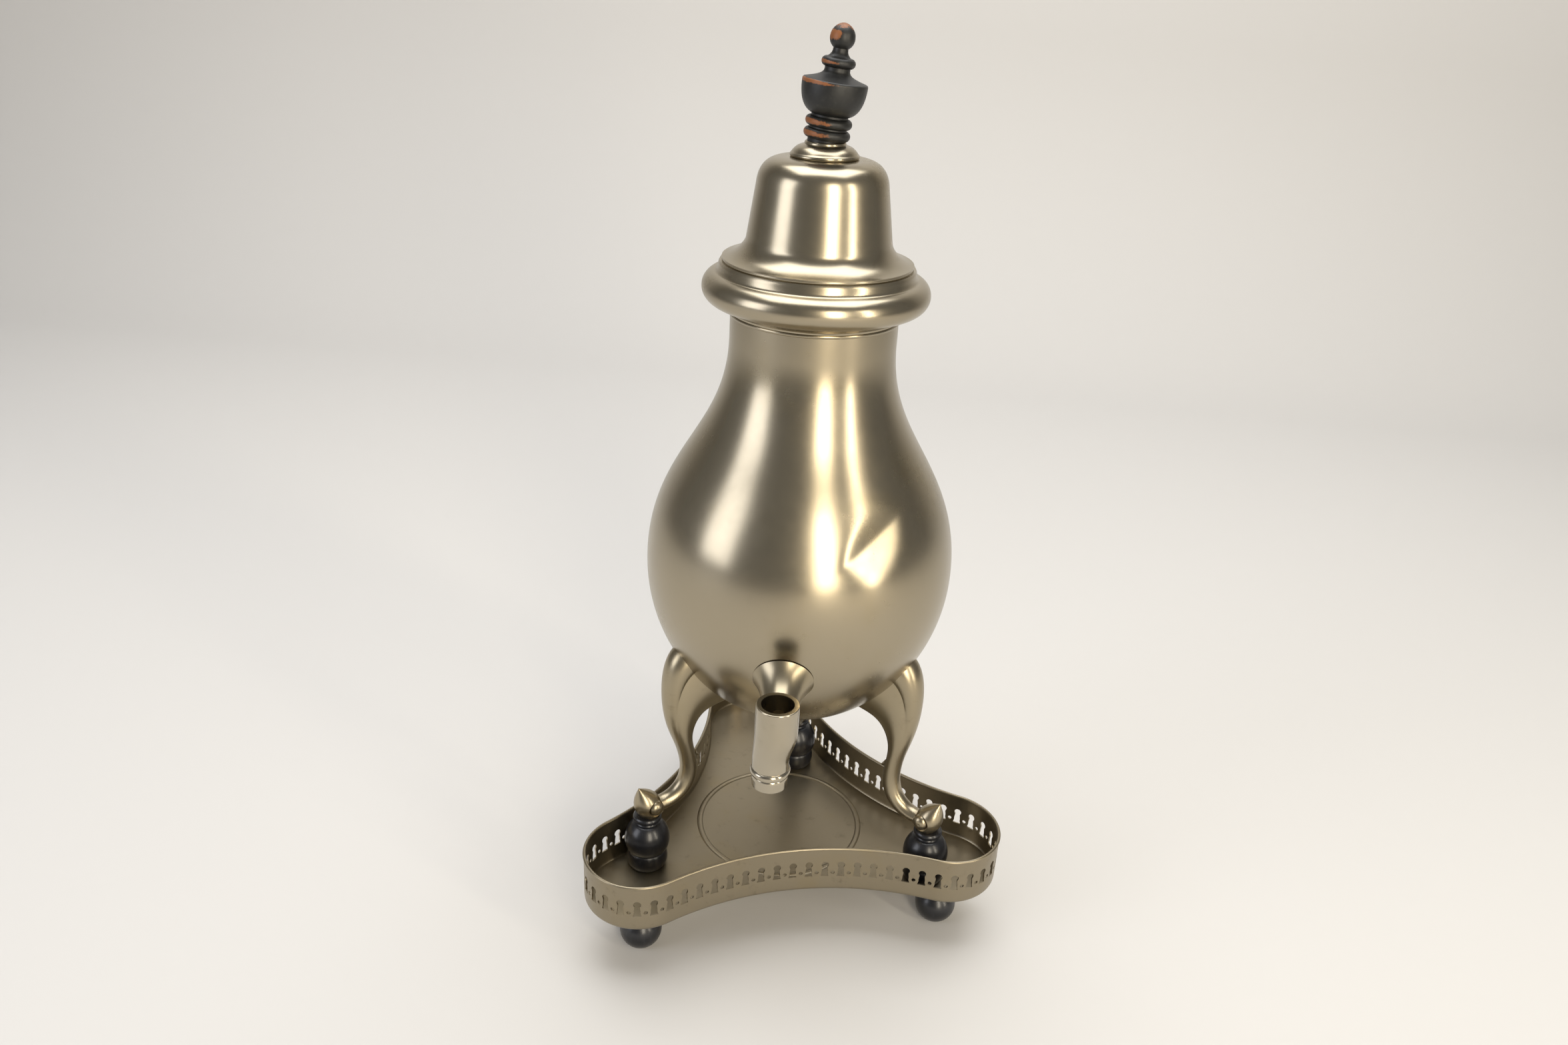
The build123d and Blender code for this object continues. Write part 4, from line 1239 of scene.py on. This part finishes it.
    def cell(self, pitch: float) -> bpy.types.Object:
        """Make one pitch of the band, flat: (along, inward, height).

        Args:
            pitch: length of the cell.

        Returns:
            The linked object.
        """
        columns = self.cell_columns
        top = self.rim_top - self.head_drop + self.head_radius + self.cell_margin
        low = self.rim_top - self.keyhole_foot - self.cell_margin
        work = bmesh.new()
        xs = [pitch * i / columns for i in range(columns + 1)]

        def row(inward: float, height: float) -> list[bmesh.types.BMVert]:
            """One row of vertices across the cell."""
            return [work.verts.new((x * MM, inward * MM, height * MM)) for x in xs]

        def strip(upper: list, lower: list) -> None:
            """Join two rows by quads."""
            for i in range(columns):
                work.faces.new((upper[i], lower[i], lower[i + 1], upper[i + 1]))

        upper_rows = [row(0, self.band_top), row(0, top + 3.0), row(0, top)]
        lower_rows = [row(0, low), row(0, self.foot_z + self.bend)]
        for step in range(1, self.bend_steps + 1):
            turn = polar(math.radians(90 * step / self.bend_steps)) * self.bend
            lower_rows.append(row(self.bend - turn.x, self.foot_z + self.bend - turn.y))
        lower_rows.append(row(self.flange, self.foot_z))
        for rows in (upper_rows, lower_rows):
            for upper, lower in zip(rows, rows[1:]):
                strip(upper, lower)
        start, end = upper_rows[-1], lower_rows[0]
        edges = [e for line in (start, end) for e in self.chain(work, line, False)]
        edges += self.chain(work, [start[0], end[0]], False, cuts=6)
        edges += self.chain(work, [start[-1], end[-1]], False, cuts=6)
        centre = Vector((pitch * 0.75, self.rim_top - self.dot_drop, 0))
        sides = self.dot_sides
        dot = [(centre + polar(math.tau * i / sides) * self.dot_radius).to_2d() for i in range(sides)]
        for loop in (self.keyhole_loop(pitch * 0.25, pitch), dot):
            edges += self.chain(work, [work.verts.new((x * MM, 0, z * MM)) for x, z in loop], True)
        bmesh.ops.triangle_fill(work, use_beauty=True, use_dissolve=False, edges=edges, normal=(0, -1, 0))
        bmesh.ops.recalc_face_normals(work, faces=work.faces)
        mesh = bpy.data.meshes.new("gallery_cell")
        work.to_mesh(mesh)
        work.free()
        cell = bpy.data.objects.new("gallery_cell", mesh)
        bpy.context.scene.collection.objects.link(cell)
        return cell

    def chain(self, work: bmesh.types.BMesh, verts: list, loop: bool, cuts: int = 0) -> list:
        """Edges along a row of vertices.

        Args:
            work: mesh being built.
            verts: vertices in order.
            loop: True to close the chain.
            cuts: extra vertices between the first two, for a straight side.

        Returns:
            The edges.
        """
        if cuts:
            first, last = verts
            between = [work.verts.new(first.co.lerp(last.co, (i + 1) / (cuts + 1))) for i in range(cuts)]
            verts = [first, *between, last]
        pairs = list(zip(verts, verts[1:]))
        if loop:
            pairs.append((verts[-1], verts[0]))
        return [work.edges.get(pair) or work.edges.new(pair) for pair in pairs]

    def bend_tree(self) -> bpy.types.GeometryNodeTree:
        """Geometry Nodes that repeat the cell and bend the strip round the outline.

        Returns:
            The tree, with inputs Cell, Count, Pitch, Outline and Finish.
        """
        tree = bpy.data.node_groups.new("bend_pierced_band", "GeometryNodeTree")
        sockets = {
            "Cell": "Geometry",
            "Count": "Int",
            "Pitch": "Float",
            "Outline": "Object",
            "Finish": "Material",
        }
        for name, kind in sockets.items():
            tree.interface.new_socket(name, in_out="INPUT", socket_type=f"NodeSocket{kind}")
        tree.interface.new_socket("Band", in_out="OUTPUT", socket_type="NodeSocketGeometry")
        given = add_node(tree, "NodeGroupInput", {}).outputs
        step = add_node(tree, "ShaderNodeCombineXYZ", {"X": given["Pitch"]})
        line = add_node(
            tree, "GeometryNodeMeshLine", {"Count": given["Count"], "Offset": step.outputs["Vector"]}
        )
        cells = add_node(
            tree, "GeometryNodeInstanceOnPoints", {"Points": line.outputs["Mesh"], "Instance": given["Cell"]}
        )
        strip = add_node(tree, "GeometryNodeRealizeInstances", {"Geometry": cells.outputs["Instances"]})
        flat_place = add_node(tree, "GeometryNodeInputPosition", {}).outputs["Position"]
        flat = add_node(tree, "ShaderNodeSeparateXYZ", {"Vector": flat_place})
        path = add_node(tree, "GeometryNodeObjectInfo", {"Object": given["Outline"]})
        sample = add_node(
            tree,
            "GeometryNodeSampleCurve",
            {"Curves": path.outputs["Geometry"], "Length": flat.outputs["X"]},
            mode="LENGTH",
            use_all_curves=True,
        )
        inward = add_node(
            tree,
            "ShaderNodeVectorMath",
            {0: (0, 0, 1), 1: sample.outputs["Tangent"]},
            operation="CROSS_PRODUCT",
        )
        moved = add_node(
            tree,
            "ShaderNodeVectorMath",
            {0: inward.outputs["Vector"], "Scale": flat.outputs["Y"]},
            operation="SCALE",
        )
        rise = add_node(tree, "ShaderNodeCombineXYZ", {"Z": flat.outputs["Z"]})
        offset = add_node(
            tree,
            "ShaderNodeVectorMath",
            {0: moved.outputs["Vector"], 1: rise.outputs["Vector"]},
            operation="ADD",
        )
        place = add_node(
            tree,
            "ShaderNodeVectorMath",
            {0: offset.outputs["Vector"], 1: sample.outputs["Position"]},
            operation="ADD",
        )
        bent = add_node(
            tree,
            "GeometryNodeSetPosition",
            {"Geometry": strip.outputs["Geometry"], "Position": place.outputs["Vector"]},
        )
        weld = 0.02 * MM
        welded = add_node(
            tree, "GeometryNodeMergeByDistance", {"Geometry": bent.outputs["Geometry"], "Distance": weld}
        )
        real = add_node(tree, "GeometryNodeRealizeInstances", {"Geometry": welded.outputs["Geometry"]})
        finished = add_node(
            tree,
            "GeometryNodeSetMaterial",
            {"Geometry": real.outputs["Geometry"], "Material": given["Finish"]},
        )
        add_node(tree, "NodeGroupOutput", {"Band": finished.outputs["Geometry"]})
        return tree

    def make_gallery(self) -> bpy.types.Object:
        """Make the pierced band: one flat cell, repeated and bent round the outline.

        Returns:
            The piece.
        """
        points = [(p + self.shop.tray_at) * MM for p in self.outline.points(0)]
        length = sum((b - a).length for a, b in zip(points, points[1:] + points[:1]))
        pitch = length / self.keyholes
        curve = bpy.data.curves.new("gallery_outline", "CURVE")
        curve.dimensions = "3D"
        spline = curve.splines.new("POLY")
        spline.points.add(len(points) - 1)
        for knot, point in zip(spline.points, points):
            knot.co = (*point, 1.0)
        spline.use_cyclic_u = True
        path = bpy.data.objects.new("gallery_outline", curve)
        bpy.context.scene.collection.objects.link(path)
        cell = self.cell(pitch / MM)
        tree = self.bend_tree()
        modifier = cell.modifiers.new("bend", "NODES")
        modifier.node_group = tree
        inputs = {item.name: item.identifier for item in tree.interface.items_tree if item.in_out == "INPUT"}
        modifier[inputs["Count"]] = self.keyholes
        modifier[inputs["Pitch"]] = pitch
        modifier[inputs["Outline"]] = path
        modifier[inputs["Finish"]] = self.shop.finishes["tray"].material
        wall = cell.modifiers.new("wall", "SOLIDIFY")
        wall.thickness = self.sheet * MM
        wall.offset = -1.0
        ready = cell.evaluated_get(bpy.context.evaluated_depsgraph_get())
        mesh = bpy.data.meshes.new_from_object(ready)
        mesh.name = "gallery_band"
        for leftover in (cell, path):
            bpy.data.objects.remove(leftover)
        mesh.shade_smooth()
        mesh.set_sharp_from_angle(angle=math.radians(35))
        band = bpy.data.objects.new("gallery_band", mesh)
        bpy.context.scene.collection.objects.link(band)
        return dress(band, self.shop.finishes["tray"], Body.TRAY, ["tray_gallery"])

    def make_feet(self) -> None:
        """Make the three turned ball feet under the plate."""
        collar_low = self.plate_under - self.foot_collar_height
        ball = self.foot_ball
        sole = self.foot_sole
        neck = self.foot_neck
        collar = self.foot_collar
        middle = math.sqrt(ball**2 - sole**2)
        neck_low = middle + math.sqrt(ball**2 - neck**2)
        for index, name in enumerate(("right", "back", "left")):
            azimuth = math.radians(self.outline.turn + 120 * index)
            spot = self.shop.tray_at + polar(azimuth) * self.foot_reach
            profile = Profile((0, 0)).line((sole, 0), 2).arc((ball, middle), (neck, neck_low), 26)
            profile.arc((neck - 0.4, (neck_low + collar_low) / 2), (neck, collar_low), 6)
            profile.arc((collar, collar_low + 3.3), (collar - 0.8, self.plate_under), 8)
            profile.line((0, self.plate_under))
            foot = lathe(f"ball_foot_{name}", profile.points, Matrix.Translation(spot), 72)
            dress(foot, self.shop.finishes["feet"], Body.TRAY, [f"tray_foot_{name}"])

    def make(self) -> None:
        """Make every piece of the tray."""
        self.make_plate()
        self.make_gallery()
        self.make_wire()
        self.make_feet()
        self.shop.keep_as_brass("tray_foot_studs")


@dataclass
class Legs:
    """Cast S-legs with their toes, and the turned wooden feet under them."""

    shop: Workshop
    plate_top: float = 34.5
    height: float = 31.5
    ball_radius: float = 11.8
    base_radius: float = 10.8
    sole_radius: float = 9.6
    groove_radius: float = 9.9
    groove_rise: float = 9.4
    neck_radius: float = 5.8
    collar_radius: float = 7.5
    collar_height: float = 3.0

    def make_foot(self, side: str) -> bpy.types.Object:
        """Make one turned foot where its node stands.

        Args:
            side: name of the leg.

        Returns:
            The piece.
        """
        low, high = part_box(f"leg_foot_{side}")
        spot = (Vector(low) + Vector(high)) / 2 / MM
        spot.z = self.plate_top
        groove = self.groove_rise
        collar = self.height - self.collar_height
        rim = self.collar_radius - 0.7
        profile = Profile((0, 0)).line((self.sole_radius, 0), 2)
        profile.arc((self.base_radius, groove / 2), (self.groove_radius, groove - 0.3), 12)
        profile.line((self.groove_radius - 0.35, groove)).line((self.groove_radius, groove + 0.3))
        ball = self.ball_radius
        neck = self.neck_radius
        profile.curve((ball + 1.1, groove + 4.0), (ball + 1.0, groove + 12.5), (neck + 1.4, collar - 1.8), 24)
        profile.arc((neck + 0.2, collar - 1.1), (neck, collar), 6).line((rim, collar))
        profile.arc((self.collar_radius, collar + self.collar_height / 2), (rim, self.height), 8)
        profile.line((0, self.height))
        foot = lathe(f"turned_foot_{side}", profile.points, Matrix.Translation(spot), 96)
        return dress(foot, self.shop.finishes["feet"], Body.URN, [f"leg_foot_{side}"])

    def make(self) -> None:
        """Make the legs and their feet."""
        for side in ("left", "right", "back"):
            leg = smoothed_copy(self.shop.frame, f"leg_{side}", f"cast_leg_{side}")
            dress(leg, self.shop.finishes["cast"], Body.URN, [f"leg_{side}"])
            self.make_foot(side)
        self.shop.keep_as_brass("leg_foot_pins")


@dataclass
class Tap:
    """Trumpet-shaped tap neck and the barrel with its open bore."""

    shop: Workshop
    start_reach: float = 71.0
    start_z: float = 170.0
    fall: float = 20.6
    pipe_radius: float = 8.7
    flare_radius: float = 14.5
    flare_length: float = 17.0
    barrel_reach: float = 98.6
    barrel_seat: float = 8.4
    belly_seat: float = 0.5
    clear_of_belly: float = 60.0

    def trumpet(self) -> bpy.types.Object:
        """Make the trumpet between the belly and the barrel, its ends let into both.

        Returns:
            The piece.
        """
        fall = math.radians(self.fall)
        along = Vector((0, -math.cos(fall), -math.sin(fall)))
        start = self.shop.urn_at + Vector((0, -self.start_reach, self.start_z))
        barrel_y = self.shop.urn_at.y - self.barrel_reach
        length = self.barrel_reach - self.start_reach
        wide = self.flare_radius
        pipe = self.pipe_radius
        end = self.flare_length
        profile = Profile((0, 0)).line((wide, 0), 6)
        profile.curve((wide - 2.8, end * 0.22), (pipe + 0.2, end * 0.55), (pipe, end), 30)
        profile.line((pipe, length), 8).line((0, length), 8)
        place = Matrix.Translation(start) @ along.to_track_quat("Z", "Y").to_matrix().to_4x4()
        piece = lathe("tap_trumpet", profile.points, place, 96)
        vessel = bpy.data.objects["urn_vessel"].data
        skin = BVHTree.FromPolygons([v.co for v in vessel.vertices], [p.vertices for p in vessel.polygons])
        for vert in piece.data.vertices:
            spot = vert.co / MM
            reach = (spot - start).dot(along)
            foot = spot - along * reach
            hit = skin.ray_cast((foot + along * self.clear_of_belly) * MM, -along)[0]
            low = (hit / MM - start).dot(along) - self.belly_seat
            aside = min(abs(foot.x - self.shop.urn_at.x), self.barrel_seat)
            back = barrel_y + math.sqrt(self.barrel_seat**2 - aside**2)
            high = (foot.y - back) / math.cos(fall)
            vert.co = (foot + along * min(max(reach, low), high)) * MM
        piece.data.update()
        return piece

    def make(self) -> None:
        """Make the tap's pieces."""
        dress(self.trumpet(), self.shop.finishes["cast"], Body.URN, ["tap_neck"])
        barrel = smoothed_copy(self.shop.frame, "tap_barrel", "tap_barrel_turning")
        dress(barrel, self.shop.finishes["tap"], Body.URN, ["tap_barrel"])


@dataclass
class Studio:
    """Pale floor and backdrop, soft lamps and the camera."""

    shop: Workshop
    lens_mm: float = 27.44
    sensor_mm: float = 36.0
    camera_from_urn: tuple[float, float, float] = (28.58, -546.52, 470.96)
    heading: float = 3.90
    pitch_down: float = 24.766
    roll: float = 3.281
    floor_colour: str = "#cfcdca"
    sky_colour: str = "#c9c8c6"
    sky_strength: float = 0.36
    wall_y: float = 900.0
    wall_bend: float = 400.0
    half_width: float = 4000.0

    def make_camera(self) -> None:
        """Place the camera at the photograph's viewing angle."""
        data = bpy.data.cameras.new("photo_camera")
        data.lens = self.lens_mm
        data.sensor_width = self.sensor_mm
        data.sensor_fit = "HORIZONTAL"
        data.clip_start = 0.01
        camera = bpy.data.objects.new("photo_camera", data)
        bpy.context.scene.collection.objects.link(camera)
        place = Matrix.Translation((self.shop.urn_at + Vector(self.camera_from_urn)) * MM)
        turn = Matrix.Rotation(math.radians(self.heading), 4, "Z")
        turn = turn @ Matrix.Rotation(math.radians(90 - self.pitch_down), 4, "X")
        camera.matrix_world = place @ turn @ Matrix.Rotation(math.radians(self.roll), 4, "Z")
        bpy.context.scene.camera = camera

    def make_backdrop(self) -> None:
        """Make the floor that bends up into a pale wall."""
        profile = [(-self.half_width, 0.0), (self.wall_y, 0.0)]
        for step in range(1, 13):
            turn = polar(math.radians(90 * step / 12)) * self.wall_bend
            profile.append((self.wall_y + turn.y, self.wall_bend - turn.x))
        profile.append((self.wall_y + self.wall_bend, self.half_width))
        verts = [Vector((x, y, z)) * MM for y, z in profile for x in (-self.half_width, self.half_width)]
        faces = [(2 * i, 2 * i + 1, 2 * i + 3, 2 * i + 2) for i in range(len(profile) - 1)]
        floor = mesh_object("pale_backdrop", verts, faces, 60.0)
        material, tree, output = new_material("pale_paper")
        shader = add_node(
            tree, "ShaderNodeBsdfPrincipled", {"Base Color": linear(self.floor_colour), "Roughness": 0.9}
        )
        tree.links.new(shader.outputs["BSDF"], output.inputs["Surface"])
        floor.data.materials.append(material)

    def add_lamp(self, name: str, place: tuple, aim: tuple, size: Point, watts: float, tint: str) -> None:
        """Add one soft box.

        Args:
            name: name of the lamp.
            place: where it hangs, metres.
            aim: point that it faces, metres.
            size: width and height, metres.
            watts: power.
            tint: colour of the light.
        """
        data = bpy.data.lights.new(name, "AREA")
        data.shape = "RECTANGLE"
        data.size, data.size_y = size
        data.energy = watts
        data.color = linear(tint)[:3]
        lamp = bpy.data.objects.new(name, data)
        bpy.context.scene.collection.objects.link(lamp)
        facing = (Vector(aim) - Vector(place)).to_track_quat("-Z", "Y")
        lamp.matrix_world = Matrix.Translation(place) @ facing.to_matrix().to_4x4()

    def make_lamps(self) -> None:
        """Hang the lamps: two tall ones at the right, one at the left and a soft one above."""
        self.add_lamp("window_main", (0.62, -1.5, 0.7), (0, 0, 0.25), (0.42, 1.2), 17.0, "#fff4df")
        self.add_lamp("window_side", (1.25, -0.85, 0.65), (0, 0, 0.25), (0.12, 1.1), 8.0, "#fff4df")
        self.add_lamp("window_left", (-1.35, -0.8, 0.7), (0, 0, 0.25), (0.7, 1.0), 8.0, "#f1f3fb")
        self.add_lamp("ceiling", (0.0, 0.2, 1.8), (0, 0, 0.1), (1.8, 1.4), 32.0, "#ffffff")
        world = bpy.data.worlds.new("room")
        world.use_nodes = True
        bpy.context.scene.world = world
        sky = world.node_tree.nodes["Background"].inputs
        sky["Color"].default_value = linear(self.sky_colour)
        sky["Strength"].default_value = self.sky_strength

    def make(self) -> None:
        """Make the whole studio."""
        self.make_camera()
        self.make_backdrop()
        self.make_lamps()
        bpy.context.scene.view_settings.view_transform = "Standard"


def main() -> None:
    """Load the frame and make every piece."""
    logging.basicConfig(level=logging.INFO, format="%(name)s: %(message)s")
    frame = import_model()
    shop = Workshop(frame)
    for builder in (Vessel(shop), Lid(shop), Tray(shop), Legs(shop), Tap(shop), Studio(shop)):
        builder.make()
        LOG.info("%s done", type(builder).__name__)


if __name__ == "__main__":
    main()
